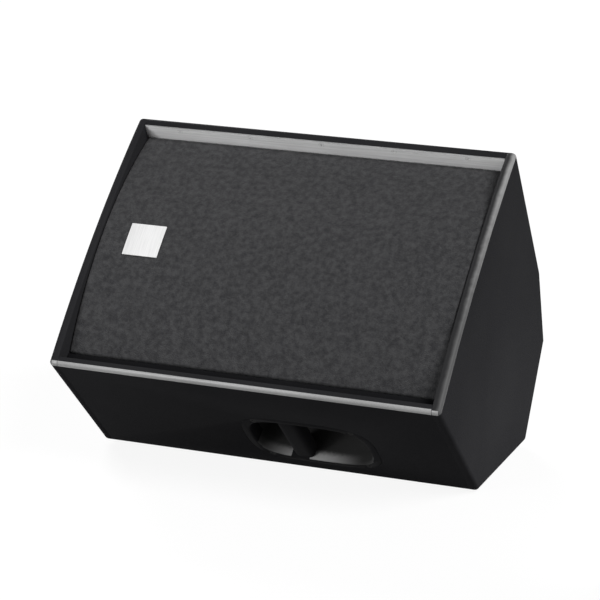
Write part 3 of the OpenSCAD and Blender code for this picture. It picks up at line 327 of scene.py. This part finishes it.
paintGloss = {"Specular IOR Level": 0.003}
edgeGloss = {"Specular IOR Level": 0.5}
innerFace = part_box("right_end_panel")[0][0]
edgeSides = (innerFace + 0.004, innerFace + 0.012)  # the right front edge's painted highlight starts and is full here
finishes = {
    "cabinet_paint": spatterPaint("cabinetPaint", (0.016, 0.016, 0.0175), (0.0215, 0.0215, 0.023),
                                  0.5, 0.0004, paintGloss),
    # light grey on the lip over the kick panel and at its two ends: a painted highlight
    "rubbed_edge": spatterPaint("rubbedEdge", (0.22, 0.22, 0.22), (0.34, 0.34, 0.34),
                                0.25, 0.00003, edgeGloss),
    "worn_edge": wornEdge("wornEdge", (0.018, 0.018, 0.019), (0.27, 0.27, 0.27), 0.25,
                          edgeSides, (0.25, 0.47), 0.45),
    # a darker copy of the cabinet paint on the ledge under the grille: painted shade
    "ledge_black": spatterPaint("ledgeBlack", (0.007, 0.007, 0.008), (0.01, 0.01, 0.011),
                                0.6, 0.0003, paintGloss),
    "bare_ply": fibrous("thinCoatPly", (0.02, 0.018, 0.016), (0.07, 0.06, 0.05), 240),
    "satin_bar": brushedMetal("satinBar", (0.78, 0.78, 0.78), (0.96, 0.96, 0.96), 0.45, 0.0, (6, 300, 300)),
    # dark grey on the bar's edges: painted shade over the lit edge
    "cut_edge": brushedMetal("cutEdge", (0.2, 0.2, 0.2), (0.3, 0.3, 0.3), 0.5, 0.0, (40, 300, 300)),
    "badge": brushedMetal("badgePlate", (0.62, 0.62, 0.62), (0.74, 0.74, 0.74), 0.4, 0.1, (1200, 30, 30)),
    "grille_steel": powderCoat("grilleSteel", (0.015, 0.015, 0.016), (0.03, 0.03, 0.032), 0.5),
    "grille_foam": openFoam("openFoam", (0.023, 0.023, 0.025), (0.056, 0.056, 0.058)),
    "handle_plastic": mouldedPlastic("handlePlastic", (0.011, 0.011, 0.012), (0.016, 0.016, 0.017),
                                     0.45, gloss=0.005),
    "cup_plastic": mouldedPlastic("cupPlastic", (0.022, 0.022, 0.022), (0.03, 0.03, 0.03), 0.5, gloss=0.03),
    "black_screws": platedSteel("blackZinc", (0.009, 0.009, 0.009), (0.017, 0.017, 0.017),
                                0.4, metallic=0.0, gloss=0.02),
    "bright_screws": platedSteel("brightZinc", (0.5, 0.5, 0.5), (0.72, 0.72, 0.72), 0.25),
    "dish_steel": powderCoat("dishSteel", (0.014, 0.014, 0.015), (0.028, 0.028, 0.03), 0.4),
    "socket_plastic": mouldedPlastic("socketPlastic", (0.014, 0.02, 0.05), (0.02, 0.03, 0.07), 0.3, 1600),
    "foot_rubber": mouldedPlastic("footRubber", (0.01, 0.01, 0.01), (0.022, 0.022, 0.022), 0.7, 500),
    "basket_steel": powderCoat("basketSteel", (0.02, 0.02, 0.02), (0.04, 0.04, 0.04), 0.42),
    "motor_steel": platedSteel("motorSteel", (0.4, 0.4, 0.39), (0.62, 0.61, 0.58), 0.3),
    "ferrite": groundStone("ferrite", (0.03, 0.03, 0.033), (0.07, 0.07, 0.075)),
    "gasket": fibrous("gasketBoard", (0.02, 0.02, 0.02), (0.04, 0.04, 0.04), 500),
    "cone_paper": fibrous("conePaper", (0.015, 0.015, 0.016), (0.04, 0.04, 0.042), 420),
    "coil_wire": woundWire("coilWire", (0.35, 0.15, 0.05), (0.7, 0.36, 0.14)),
    "surround_cloth": fibrous("surroundCloth", (0.012, 0.012, 0.012), (0.03, 0.03, 0.03), 900, 0.7),
    "spider_cloth": fibrous("spiderCloth", (0.35, 0.22, 0.07), (0.55, 0.4, 0.16), 900, 0.75),
    "terminal_board": fibrous("phenolicBoard", (0.11, 0.06, 0.025), (0.2, 0.11, 0.05), 600, 0.4),
    "horn_plastic": mouldedPlastic("hornPlastic", (0.015, 0.015, 0.015), (0.025, 0.025, 0.025), 0.4),
    "diaphragm_metal": brushedMetal("drawnFoil", (0.55, 0.55, 0.55), (0.75, 0.75, 0.75),
                                    0.25, 1.0, (300, 300, 300)),
    "spacer_plastic": mouldedPlastic("spacerNylon", (0.68, 0.68, 0.64), (0.8, 0.8, 0.76), 0.45),
    "inductor_copper": woundWire("inductorCopper", (0.3, 0.11, 0.03), (0.62, 0.28, 0.1)),
    "capacitor_film": mouldedPlastic("capacitorFilm", (0.6, 0.42, 0.05), (0.78, 0.58, 0.1), 0.3, 400),
    "resistor_ceramic": groundStone("resistorCeramic", (0.7, 0.68, 0.62), (0.82, 0.8, 0.75)),
    "lead_jacket": mouldedPlastic("leadJacket", (0.022, 0.022, 0.022), (0.038, 0.038, 0.038), 0.4, 1400),
}
print("finishes:", len(finishes))


def dressCad():  # every CAD node gets its slot's finish
    for name, node in cadNodes.items():
        node.data.materials.clear()
        node.data.materials.append(finishes[slotOf[name]])


def addPiece(name, mesh, nodeNames, materials, smooth=30, body="cabinet"):
    data = bpy.data.meshes.new(name)
    mesh.to_mesh(data)
    mesh.free()
    for material in materials:
        data.materials.append(material)
    data.shade_smooth()
    data.set_sharp_from_angle(angle=math.radians(smooth))
    piece = bpy.data.objects.new(name, data)
    scene.collection.objects.link(piece)
    if body:
        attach(piece, body)
    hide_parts(*nodeNames)
    return piece


def weldedCopy(nodeName, weld=0.00001, flat=0.4):  # a CAD node as one mesh, its flat faces joined
    mesh = bmesh.new()
    mesh.from_mesh(cadNodes[nodeName].data)
    bmesh.ops.remove_doubles(mesh, verts=mesh.verts, dist=weld)
    if flat:
        bmesh.ops.dissolve_limit(mesh, angle_limit=math.radians(flat), verts=mesh.verts, edges=mesh.edges)
    return mesh


roundSteps = 3  # segments of an eased edge on trim and mouldings
mouldedSmooth = 38  # degrees up to which moulded faces shade as one


def easeEdges(mesh, width, segments=2, sharp=50):  # small bevels where two faces meet at a sharp angle
    edges = [e for e in mesh.edges if e.is_manifold and e.calc_face_angle() > math.radians(sharp)]
    bmesh.ops.bevel(mesh, geom=edges, offset=width, segments=segments, profile=0.5, affect="EDGES",
                    clamp_overlap=True)


def facing(nodeName):  # the way that the largest flat face of a CAD node looks, either sign
    areas = {}
    for face in cadNodes[nodeName].data.polygons:
        flip = 1 if tuple(face.normal) > (0, 0, 0) else -1
        way = tuple(round(c, 4) for c in face.normal * flip)
        areas[way] = areas.get(way, 0) + face.area
    return Vector(max(areas, key=areas.get)).normalized()


# Cabinet: painted panels, with a painted highlight on the lip over the kick panel and up the right front
# edge
panel = {
    "painted": ("left_end_panel", "right_end_panel", "kick_panel", "floor_panel", "lower_rear_panel",
                "upper_rear_panel", "top_panel", "grille_ledge"),
    "coats": {"grille_ledge": "ledge_black"},  # where it isn't the panel's own finish; the ledge's darker paint is painted shade
    "ease": 0.0005,
    "facetArea": 0.0015,  # the strips of a rounded edge are smaller than this
    "facetTurn": (2, 35),  # and turn by this many degrees from one to the next
    "lipDepth": 0.0175,  # only edges this near to the grille's crown get a painted highlight
    "cornerArea": 0.00003,  # an end panel's facets at the lip's two ends are smaller than this
    "square": 0.3,  # and look this little to the side
    "aside": 0.1,  # while its highlighted edge looks to the right by more than this
    "front": 0.95,  # or straight ahead, as the grille does, by this cosine
}


def edgeCoat(nodeName, face):  # 0 for paint, 1 for the painted highlight on the lip, 2 for the painted highlight up the right front edge
    low, high = (math.radians(turn) for turn in panel["facetTurn"])
    turning = [e for e in face.edges if e.is_manifold and low < e.calc_face_angle() < high]
    behind = arc["top"] - face.calc_center_median().dot(arc["crown"])
    if face.calc_area() > panel["facetArea"] or behind > panel["lipDepth"]:
        return 0
    if nodeName == "right_end_panel" and face.normal.dot(arc["crown"]) > panel["front"]:
        return 2
    if len(turning) < 2:
        return 0
    if nodeName == "kick_panel":
        return 1
    lower = (face.calc_center_median() - arc["centre"]).dot(arc["rise"]) < 0
    if lower and face.calc_area() < panel["cornerArea"] and abs(face.normal.x) < panel["square"]:
        return 1
    return 2 if face.normal.x > panel["aside"] else 0


def makePanels():
    for nodeName in panel["painted"]:
        mesh = weldedCopy(nodeName)
        for face in mesh.faces:
            face.material_index = edgeCoat(nodeName, face)
        easeEdges(mesh, panel["ease"])
        coat = panel["coats"].get(nodeName, slotOf[nodeName])
        coats = [finishes[key] for key in (coat, "rubbed_edge", "worn_edge")]
        addPiece("painted_" + nodeName, mesh, [nodeName], coats)
    print("cabinet:", len(panel["painted"]), "panels")


# Grille foam: a grid bent on the grille's arc, rolled off at its borders and grained by its cells
foam = {
    "tilt": 42.2,  # degrees that the face leans back from the floor
    "columns": 300,
    "rows": 204,
    "rollOff": 0.004,
    "grain": 0.0007,
    "grainScale": 210.0,
    "grainDetail": 3.0,
    "settle": 0.25,  # the face lies lower by this share of the grain
    "sideSlack": 0.000001,  # points this near to a side are on it
    "endSlack": 0.003,  # and this near to an end
    "smooth": 60,  # degrees
}


def foamArc():  # the circle through the two ends and the crown of the CAD foam
    tilt = math.radians(foam["tilt"])
    rise = Vector((0, math.cos(tilt), math.sin(tilt)))
    crown = Vector((0, -math.sin(tilt), math.cos(tilt)))
    spots = [vert.co for vert in cadNodes["grille_foam"].data.vertices]
    low, high = min(spots, key=rise.dot), max(spots, key=rise.dot)
    top = max(spots, key=crown.dot)
    half = (high - low).dot(rise) / 2
    aside = top.dot(rise) - low.dot(rise) - half
    above = (top - low).dot(crown)
    below = (half ** 2 - aside ** 2 - above ** 2) / (2 * above)
    centre = rise * (low.dot(rise) + half) + crown * (low.dot(crown) - below)
    radius = math.hypot(half, below)
    back = min(math.hypot((p - centre).dot(rise), (p - centre).dot(crown)) for p in spots)
    return {"rise": rise, "crown": crown, "centre": centre, "radius": radius, "back": back,
            "length": 2 * radius * math.asin(half / radius), "top": top.dot(crown),
            "width": max(p.x for p in spots) - min(p.x for p in spots)}


def foamTree():
    tree = bpy.data.node_groups.new("foamFace", "GeometryNodeTree")
    sizes = {"Width": arc["width"], "Arc": arc["length"], "Radius": arc["radius"],
             "Roll Off": foam["rollOff"], "Grain": foam["grain"]}
    for key, value in sizes.items():
        tree.interface.new_socket(key, in_out="INPUT", socket_type="NodeSocketFloat").default_value = value
    tree.interface.new_socket("Face", in_out="OUTPUT", socket_type="NodeSocketGeometry")
    sheet = NodeSheet(tree)
    source = tree.nodes.new("NodeGroupInput")
    width, length, radius, rollOff, grain = (Wire(sheet, source.outputs[key]) for key in sizes)
    counts = {"Vertices X": foam["columns"], "Vertices Y": foam["rows"]}
    grid = sheet.add("GeometryNodeMeshGrid", None, {"Size X": width, "Size Y": length, **counts})
    place = sheet.add("GeometryNodeInputPosition")
    split = tree.nodes.new("ShaderNodeSeparateXYZ")
    sheet.plug(split.inputs[0], place)
    across, along = Wire(sheet, split.outputs["X"]), Wire(sheet, split.outputs["Y"])
    fromSide = width * 0.5 - sheet.maths("ABSOLUTE", across)
    fromEnd = length * 0.5 - sheet.maths("ABSOLUTE", along)
    nearest = sheet.maths("MINIMUM", sheet.maths("MINIMUM", fromSide, fromEnd), rollOff)
    inward = rollOff - nearest
    sink = rollOff - sheet.maths("SQRT", rollOff * rollOff - inward * inward)
    pattern = {"Vector": place, "Scale": foam["grainScale"], "Detail": foam["grainDetail"]}
    cells = sheet.add("ShaderNodeTexNoise", None, pattern)
    lift = (cells - 0.5) * grain - sink
    turn = along / radius
    reach = radius + lift - grain * foam["settle"]
    out = sheet.vectors("SCALE", arc["crown"])
    sheet.plug(out.socket.node.inputs["Scale"], sheet.maths("COSINE", turn) * reach)
    up = sheet.vectors("SCALE", arc["rise"])
    sheet.plug(up.socket.node.inputs["Scale"], sheet.maths("SINE", turn) * reach)
    side = sheet.add("ShaderNodeCombineXYZ", None, {"X": across})
    spot = sheet.vectors("ADD", sheet.vectors("ADD", out, up), sheet.vectors("ADD", side, arc["centre"]))
    bent = sheet.add("GeometryNodeSetPosition", None, {"Geometry": grid, "Position": spot})
    real = sheet.add("GeometryNodeRealizeInstances", None, {0: bent})
    finish = finishes["grille_foam"]
    done = sheet.add("GeometryNodeSetMaterial", None, {"Geometry": real, "Material": finish})
    target = tree.nodes.new("NodeGroupOutput")
    tree.links.new(done.socket, target.inputs[0])
    return tree


def grownMesh(tree, seed=None, settings=None):  # a node tree's result as a plain mesh
    holder = bpy.data.objects.new("holder", seed or bpy.data.meshes.new("holder"))
    scene.collection.objects.link(holder)
    modifier = holder.modifiers.new("grown", "NODES")
    modifier.node_group = tree
    sockets = [item for item in tree.interface.items_tree if item.in_out == "INPUT"]
    inputs = {item.name: item.identifier for item in sockets}
    for key, value in (settings or {}).items():
        modifier[inputs[key]] = value
    ready = holder.evaluated_get(bpy.context.evaluated_depsgraph_get())
    data = bpy.data.meshes.new_from_object(ready)
    mesh = bmesh.new()
    mesh.from_mesh(data)
    bpy.data.objects.remove(holder)
    return mesh


def closeFoam(mesh):  # side walls, end walls and a back of long strips
    centre = arc["centre"]
    half = arc["width"] / 2

    def heightOf(vert):  # up the slope of the face
        return (vert.co - centre).dot(arc["rise"])

    sides = []
    for sign in (-1, 1):
        onSide = [v for v in mesh.verts if abs(v.co.x - sign * half) < foam["sideSlack"]]
        front = sorted(onSide, key=heightOf)
        rear = []
        for vert in front:
            radial = (vert.co - centre) * Vector((0, 1, 1))
            spot = centre + radial.normalized() * arc["back"] + Vector((vert.co.x, 0, 0))
            rear.append(mesh.verts.new(spot))
        sides.append((front, rear))
    (leftFront, leftRear), (rightFront, rightRear) = sides
    for k in range(len(leftFront) - 1):
        mesh.faces.new((leftFront[k], leftFront[k + 1], leftRear[k + 1], leftRear[k]))
        mesh.faces.new((rightFront[k + 1], rightFront[k], rightRear[k], rightRear[k + 1]))
        mesh.faces.new((leftRear[k], leftRear[k + 1], rightRear[k + 1], rightRear[k]))
    for k in (0, -1):
        level = (heightOf(leftFront[k]) + heightOf(rightFront[k])) / 2
        row = [v for v in mesh.verts if v.is_boundary and abs(heightOf(v) - level) < foam["endSlack"]]
        row = sorted((v for v in row if v not in (leftRear[k], rightRear[k])), key=lambda v: v.co.x)
        mesh.faces.new([*row, rightRear[k], leftRear[k]])
    bmesh.ops.recalc_face_normals(mesh, faces=mesh.faces)


def makeFoam():
    mesh = grownMesh(foamTree())
    closeFoam(mesh)
    piece = addPiece("foam_face", mesh, ["grille_foam"], [finishes["grille_foam"]], foam["smooth"])
    print("foam:", len(piece.data.polygons), "faces")


# Light metal: the bar over the grille with its edges in a darker tone that is painted shade, and the bare
# badge plate
trim = {
    "ease": {"grille_retainer": 0.0004, "badge_plate": 0.0005},
    "cutEdge": {"grille_retainer": "cut_edge", "badge_plate": "badge"},
    "flat": 0.9,  # faces within this cosine of the piece's largest face keep the satin
}


def makeTrim():
    for nodeName, ease in trim["ease"].items():
        mesh = weldedCopy(nodeName)
        way = facing(nodeName)
        for face in mesh.faces:
            face.material_index = int(abs(face.normal.dot(way)) < trim["flat"])
        easeEdges(mesh, ease, roundSteps)
        # on the bar, the darker edge tone is painted shade
        edge = finishes[trim["cutEdge"][nodeName]]
        addPiece("eased_" + nodeName, mesh, [nodeName], [finishes[slotOf[nodeName]], edge])
    print("trim:", len(trim["ease"]), "pieces")


# Hand cup: a plain flange, a deep mouth, and a lower lip with a painted highlight
handle = {
    "ease": 0.0008,
    "flat": 0.98,  # the flange's faces look out of the panel this squarely
    "flangeDepth": 0.001,
    "lipDepth": 0.018,  # how far into the mouth the lip's painted highlight can reach
    "bare": (0.36, 0.36, 0.36),  # the painted highlight's tone where it is brightest
    "plain": (0.026, 0.026, 0.026),
    "sides": (0.007, 0.08),  # it fades between these distances from a point by the grip
    "depths": (0.005, 0.016),  # and between these depths
    "rubbedSide": 0.1,  # only faces that look up the panel by this cosine get the painted highlight
    "gripSide": 0.004,  # and none this near to the grip
}


def handleFinish(face, out, up, flange):  # which of the three finishes a face has
    spot = face.calc_center_median()
    behind = flange - spot.dot(out)
    if behind < handle["flangeDepth"] and face.normal.dot(out) > handle["flat"]:
        return 0
    if behind > handle["lipDepth"]:
        return 1
    low, high = (corner[0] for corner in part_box("handle_grip"))
    free = not low - handle["gripSide"] < spot.x < high + handle["gripSide"]
    # faces that look up the panel, away from the grip, get the painted highlight
    return 2 if free and face.normal.dot(up) > handle["rubbedSide"] else 0


def makeHandle():
    out = facing("kick_panel")
    out = -out if out.y > 0 else out  # the kick panel looks to the front
    up = out.cross(Vector((1, 0, 0)))
    mesh = weldedCopy("handle_cup")
    flange = max(vert.co.dot(out) for vert in mesh.verts)
    for face in mesh.faces:
        face.material_index = handleFinish(face, out, up, flange)
    easeEdges(mesh, handle["ease"], roundSteps)
    ends = [corner[0] for nodeName in ("handle_cup", "handle_grip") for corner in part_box(nodeName)]
    middle = Vector((sum(ends) / len(ends), 0, 0)) + out * flange
    # the lip's light tone is a painted highlight
    highlight = paintedLipHighlight("rubbedPlastic", handle["plain"], handle["bare"], middle, -out,
                       handle["sides"], handle["depths"])
    coats = [finishes["handle_plastic"], finishes["cup_plastic"], highlight]
    addPiece("rubbed_handle_cup", mesh, ["handle_cup"], coats, mouldedSmooth)
    print("handle: lip rubbed", handle["lipDepth"], "m deep")


# Screws: the CAD's heads and shanks with a cross recess cut into each head
screw = {
    "nodes": {  # each set, and the node whose largest face looks the same way
        "handle_screws": "kick_panel",
        "retainer_screws": "grille_retainer",
        "dish_screws": "upper_rear_panel",
        "socket_screws": "upper_rear_panel",
        "pole_socket_screws": "left_end_panel",
        "foot_screws": "floor_panel",
    },
    "sides": 24,
    "crown": 0.8,  # top of a raised head, as a share of its radius
    "slotLength": 1.15,  # the recess, as shares of the head's radius and height
    "slotWidth": 0.26,
    "slotDepth": 0.55,
    "turn": 37.0,  # degrees from one recess to the next
    "slack": 0.00002,  # lengths closer than this are taken as equal
}


def islandsOf(mesh):  # the vertices of each separate solid
    left = set(mesh.verts)
    while left:
        front = {left.pop()}
        island = set(front)
        while front:
            front = {edge.other_vert(vert) for vert in front for edge in vert.link_edges} - island
            island |= front
        left -= island
        yield [vert.co.copy() for vert in island]


def measureScrew(spots, axis):  # head centre and sizes of one CAD screw, with its axis turned to the head
    middle = sum(spots, Vector()) / len(spots)
    middle -= axis * middle.dot(axis)
    rings = sorted((spot.dot(axis), (spot - axis * spot.dot(axis) - middle).length) for spot in spots)
    if rings[0][1] > rings[-1][1]:
        return measureScrew(spots, -axis)
    (tip, shank), (top, head) = rings[0], rings[-1]
    neck = max(level for level, radius in rings if abs(radius - shank) < screw["slack"])
    base = max(radius for level, radius in rings if abs(level - neck) < screw["slack"])
    raised = base > shank + screw["slack"]
    sizes = {
        "Top Radius": head * screw["crown"] if raised else head,
        "Base Radius": base,
        "Head Height": top - neck,
        "Shank Radius": shank,
        "Shank Length": neck - tip,
        "Slot Length": head * screw["slotLength"],
        "Slot Width": head * screw["slotWidth"],
        "Slot Depth": (top - neck) * screw["slotDepth"],
    }
    return middle + axis * top, axis, sizes


def screwTree(sizes):
    tree = bpy.data.node_groups.new("recessedScrews", "GeometryNodeTree")
    kinds = {"Seats": "Geometry", **dict.fromkeys(sizes, "Float"), "Way": "Vector", "Finish": "Material"}
    for key, kind in kinds.items():
        tree.interface.new_socket(key, in_out="INPUT", socket_type="NodeSocket" + kind)
    tree.interface.new_socket("Screws", in_out="OUTPUT", socket_type="NodeSocketGeometry")
    sheet = NodeSheet(tree)
    source = tree.nodes.new("NodeGroupInput")
    part = {key: Wire(sheet, source.outputs[key]) for key in kinds}

    def upright(**axes):
        return sheet.add("ShaderNodeCombineXYZ", None, axes)

    def moved(mesh, **changes):
        return sheet.add("GeometryNodeTransform", None, {"Geometry": mesh, **changes})

    radii = {"Radius Top": part["Top Radius"], "Radius Bottom": part["Base Radius"]}
    headSizes = {"Vertices": screw["sides"], "Depth": part["Head Height"], **radii}
    cone = sheet.add("GeometryNodeMeshCone", None, headSizes)
    head = moved(cone, Translation=upright(Z=0 - part["Head Height"]))
    blade = upright(X=part["Slot Length"], Y=part["Slot Width"], Z=part["Slot Depth"] * 2)
    slot = sheet.add("GeometryNodeMeshCube", None, {"Size": blade})
    crossing = moved(slot, Rotation=(0, 0, math.pi / 2))
    cut = sheet.add("GeometryNodeMeshBoolean", {"operation": "DIFFERENCE"}, {0: head, 1: slot})
    sheet.plug(cut.socket.node.inputs[1], crossing)
    rodSizes = {"Vertices": screw["sides"], "Depth": part["Shank Length"], "Radius": part["Shank Radius"]}
    rod = sheet.add("GeometryNodeMeshCylinder", None, rodSizes)
    shank = moved(rod, Translation=upright(Z=0 - part["Head Height"] - part["Shank Length"] * 0.5))
    whole = sheet.add("GeometryNodeJoinGeometry", None, {0: cut})
    sheet.plug(whole.socket.node.inputs[0], shank)
    count = sheet.add("GeometryNodeInputIndex")
    turn = count * math.radians(screw["turn"])
    spin = sheet.add("FunctionNodeAxisAngleToRotation", None, {"Angle": turn})
    turned = {"Rotation": spin, "Vector": part["Way"]}
    aim = sheet.add("FunctionNodeAlignRotationToVector", {"axis": "Z"}, turned)
    seated = {"Points": part["Seats"], "Instance": whole, "Rotation": aim}
    placed = sheet.add("GeometryNodeInstanceOnPoints", None, seated)
    real = sheet.add("GeometryNodeRealizeInstances", None, {0: placed})
    done = sheet.add("GeometryNodeSetMaterial", None, {"Geometry": real, "Material": part["Finish"]})
    target = tree.nodes.new("NodeGroupOutput")
    tree.links.new(done.socket, target.inputs[0])
    return tree


def makeScrews():
    tree = None
    for nodeName, carrier in screw["nodes"].items():
        mesh = weldedCopy(nodeName)
        found = [measureScrew(spots, facing(carrier)) for spots in islandsOf(mesh)]
        mesh.free()
        found.sort(key=lambda seat: tuple(seat[0]))
        way, sizes = found[0][1:]
        seats = bpy.data.meshes.new("seats")
        seats.from_pydata([seat[0] for seat in found], [], [])
        tree = tree or screwTree(sizes)
        finish = finishes[slotOf[nodeName]]
        grown = grownMesh(tree, seats, {**sizes, "Way": way, "Finish": finish})
        addPiece("recessed_" + nodeName, grown, [nodeName], [finish])
    print("screws:", len(screw["nodes"]), "sets")


# Mouldings and pressings that keep their CAD shape, with eased edges
mouldings = {"handle_grip": 0.001, "connector_dish": 0.0006, "input_socket": 0.0004,
             "link_socket": 0.0004, "pole_socket": 0.0006, "feet": 0.0008}


def makeMouldings():
    for nodeName, ease in mouldings.items():
        mesh = weldedCopy(nodeName)
        easeEdges(mesh, ease, roundSteps)
        finish = finishes[slotOf[nodeName]]
        addPiece("eased_" + nodeName, mesh, [nodeName], [finish], mouldedSmooth)
    print("mouldings:", len(mouldings))


# Soft rings: the outer edge stays on its frame, and the inner edge goes with the cone or the diaphragm
rings = {
    "joints": {"woofer_surround": "cone_travel", "woofer_spider": "cone_travel",
               "driver_suspension": "diaphragm_travel"},
    "laps": {  # how wide a ring is glued, at its inner and its outer edge
        "woofer_surround": (0.007, 0.0115),
        "woofer_spider": (0.0037, 0.007),
    },
    "side": (1, 0, 0),  # a way across the rings' common direction
}


def makeRings():
    joints = {joint["name"]: joint for joint in frame["joints"]}
    for nodeName, jointName in rings["joints"].items():
        joint = joints[jointName]
        axis = Vector(joint["axis"]).normalized()
        centre = sum((Vector(corner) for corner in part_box(nodeName)), Vector()) / 2
        mesh = weldedCopy(nodeName, flat=0)
        reach = [(vert.co - centre).cross(axis).length for vert in mesh.verts]
        innerLap, outerLap = rings["laps"].get(nodeName, (0, 0))
        start, end = max(reach) - outerLap, min(reach) + innerLap
        piece = addPiece("bending_" + nodeName, mesh, [nodeName], [finishes[slotOf[nodeName]]], body=None)
        side = Vector(rings["side"])
        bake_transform(piece, joint["parent"], joint["child"],
                 start=centre + side * start, end=centre + side * end)
        shares = piece.data.attributes["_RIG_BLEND"].data
        for far, share in zip(reach, shares):  # the same all round the ring
            part = min(max((start - far) / (start - end), 0), 1)
            share.value = part * part * (3 - 2 * part)


# Studio: pale floor, soft suns from the upper right and from behind, and three lamps that shape the front
studio = {
    "aim": (0, 0, 0.2),
    "sunSpread": 30,  # degrees that a sun spans
    "sunFar": 3.0,
    "suns": {"key": ((0.66, -0.24, 0.71), 3.2), "rear": ((-0.6, 0.72, 0.35), 6.0)},  # way and power
    "lamps": {  # way, distance, width, height and power
        "strip": ((-0.355, -0.87, 0.34), 3.0, 1.4, 2.6, 28),
        "low": ((-0.5, -0.85, 0.12), 3.0, 0.5, 0.5, 17),
        "side": ((0.55, 0.0, -0.165), 0.574, 0.6, 0.05, 0.6),  # beside the right end, just over the floor
    },
    "fill": 0.1,
    "floorSize": 14.0,
    "floorLevel": -0.0002,  # just clear of the feet
    "floorTone": 0.9,
    "floorBounce": 0.15,  # the floor's tone as the object's underside sees it
    "floorGlow": 0.9,  # share of plain white that the viewer sees in the floor
}


def aimLamp(name, data, way, far):
    lamp = bpy.data.objects.new(name, data)
    lamp.location = Vector(studio["aim"]) + Vector(way).normalized() * far
    lamp.rotation_euler = Vector(way).to_track_quat("Z", "Y").to_euler()
    scene.collection.objects.link(lamp)


def addSun(name, way, power):
    sun = bpy.data.lights.new(name, "SUN")
    sun.energy = power
    sun.angle = math.radians(studio["sunSpread"])
    aimLamp(name, sun, way, studio["sunFar"])


def addPanel(name, way, far, width, height, power):
    lamp = bpy.data.lights.new(name, "AREA")
    lamp.shape = "RECTANGLE"
    lamp.size, lamp.size_y = width, height
    lamp.energy = power
    aimLamp(name, lamp, way, far)


def makeLights():
    for name, values in studio["suns"].items():
        addSun(name, *values)
    for name, values in studio["lamps"].items():
        addPanel(name, *values)


def seenRays(sheet):  # 1 for what the viewer sees straight, in gloss or through glass
    light = sheet.tree.nodes.new("ShaderNodeLightPath")
    straight, glossy, clear = (Wire(sheet, light.outputs[key])
                               for key in ("Is Camera Ray", "Is Glossy Ray", "Is Transmission Ray"))
    return sheet.maths("MAXIMUM", sheet.maths("MAXIMUM", straight, glossy), clear)


def makeStudio():
    world = bpy.data.worlds.new("studio")
    world.use_nodes = True
    scene.world = world
    sky = NodeSheet(world.node_tree)
    back = world.node_tree.nodes["Background"]
    back.inputs["Color"].default_value = (1, 1, 1, 1)
    sky.plug(back.inputs["Strength"], studio["fill"] + seenRays(sky) * (1 - studio["fill"]))
    mesh = bmesh.new()
    level = Matrix.Translation((0, 0, studio["floorLevel"]))
    bmesh.ops.create_grid(mesh, x_segments=1, y_segments=1, size=studio["floorSize"] / 2, matrix=level)
    data = bpy.data.meshes.new("floor")
    mesh.to_mesh(data)
    mesh.free()
    floor = bpy.data.objects.new("floor", data)
    scene.collection.objects.link(floor)
    paper = Finish("paleFloor", {"Roughness": 0.9, "Specular IOR Level": 0.0})
    seen = seenRays(paper)
    paper.wear(Base_Color=paper.tint(seen, (studio["floorBounce"],) * 3, (studio["floorTone"],) * 3))
    glow = paper.add("ShaderNodeEmission", None, {"Strength": 1.0})
    lit = Wire(paper, paper.shader.outputs[0])
    mixed = paper.add("ShaderNodeMixShader", None, {0: seen * studio["floorGlow"], 1: lit, 2: glow})
    output = paper.tree.nodes["Material Output"]
    paper.tree.links.new(mixed.socket, output.inputs["Surface"])
    data.materials.append(paper.material)
    makeLights()
    scene.view_settings.view_transform = "Standard"
    print("studio:", len(studio["suns"]), "suns,", len(studio["lamps"]), "lamps, floor")


makeCamera()
arc = foamArc()
dressCad()
makePanels()
makeFoam()
makeTrim()
makeHandle()
makeScrews()
makeMouldings()
makeRings()
makeStudio()
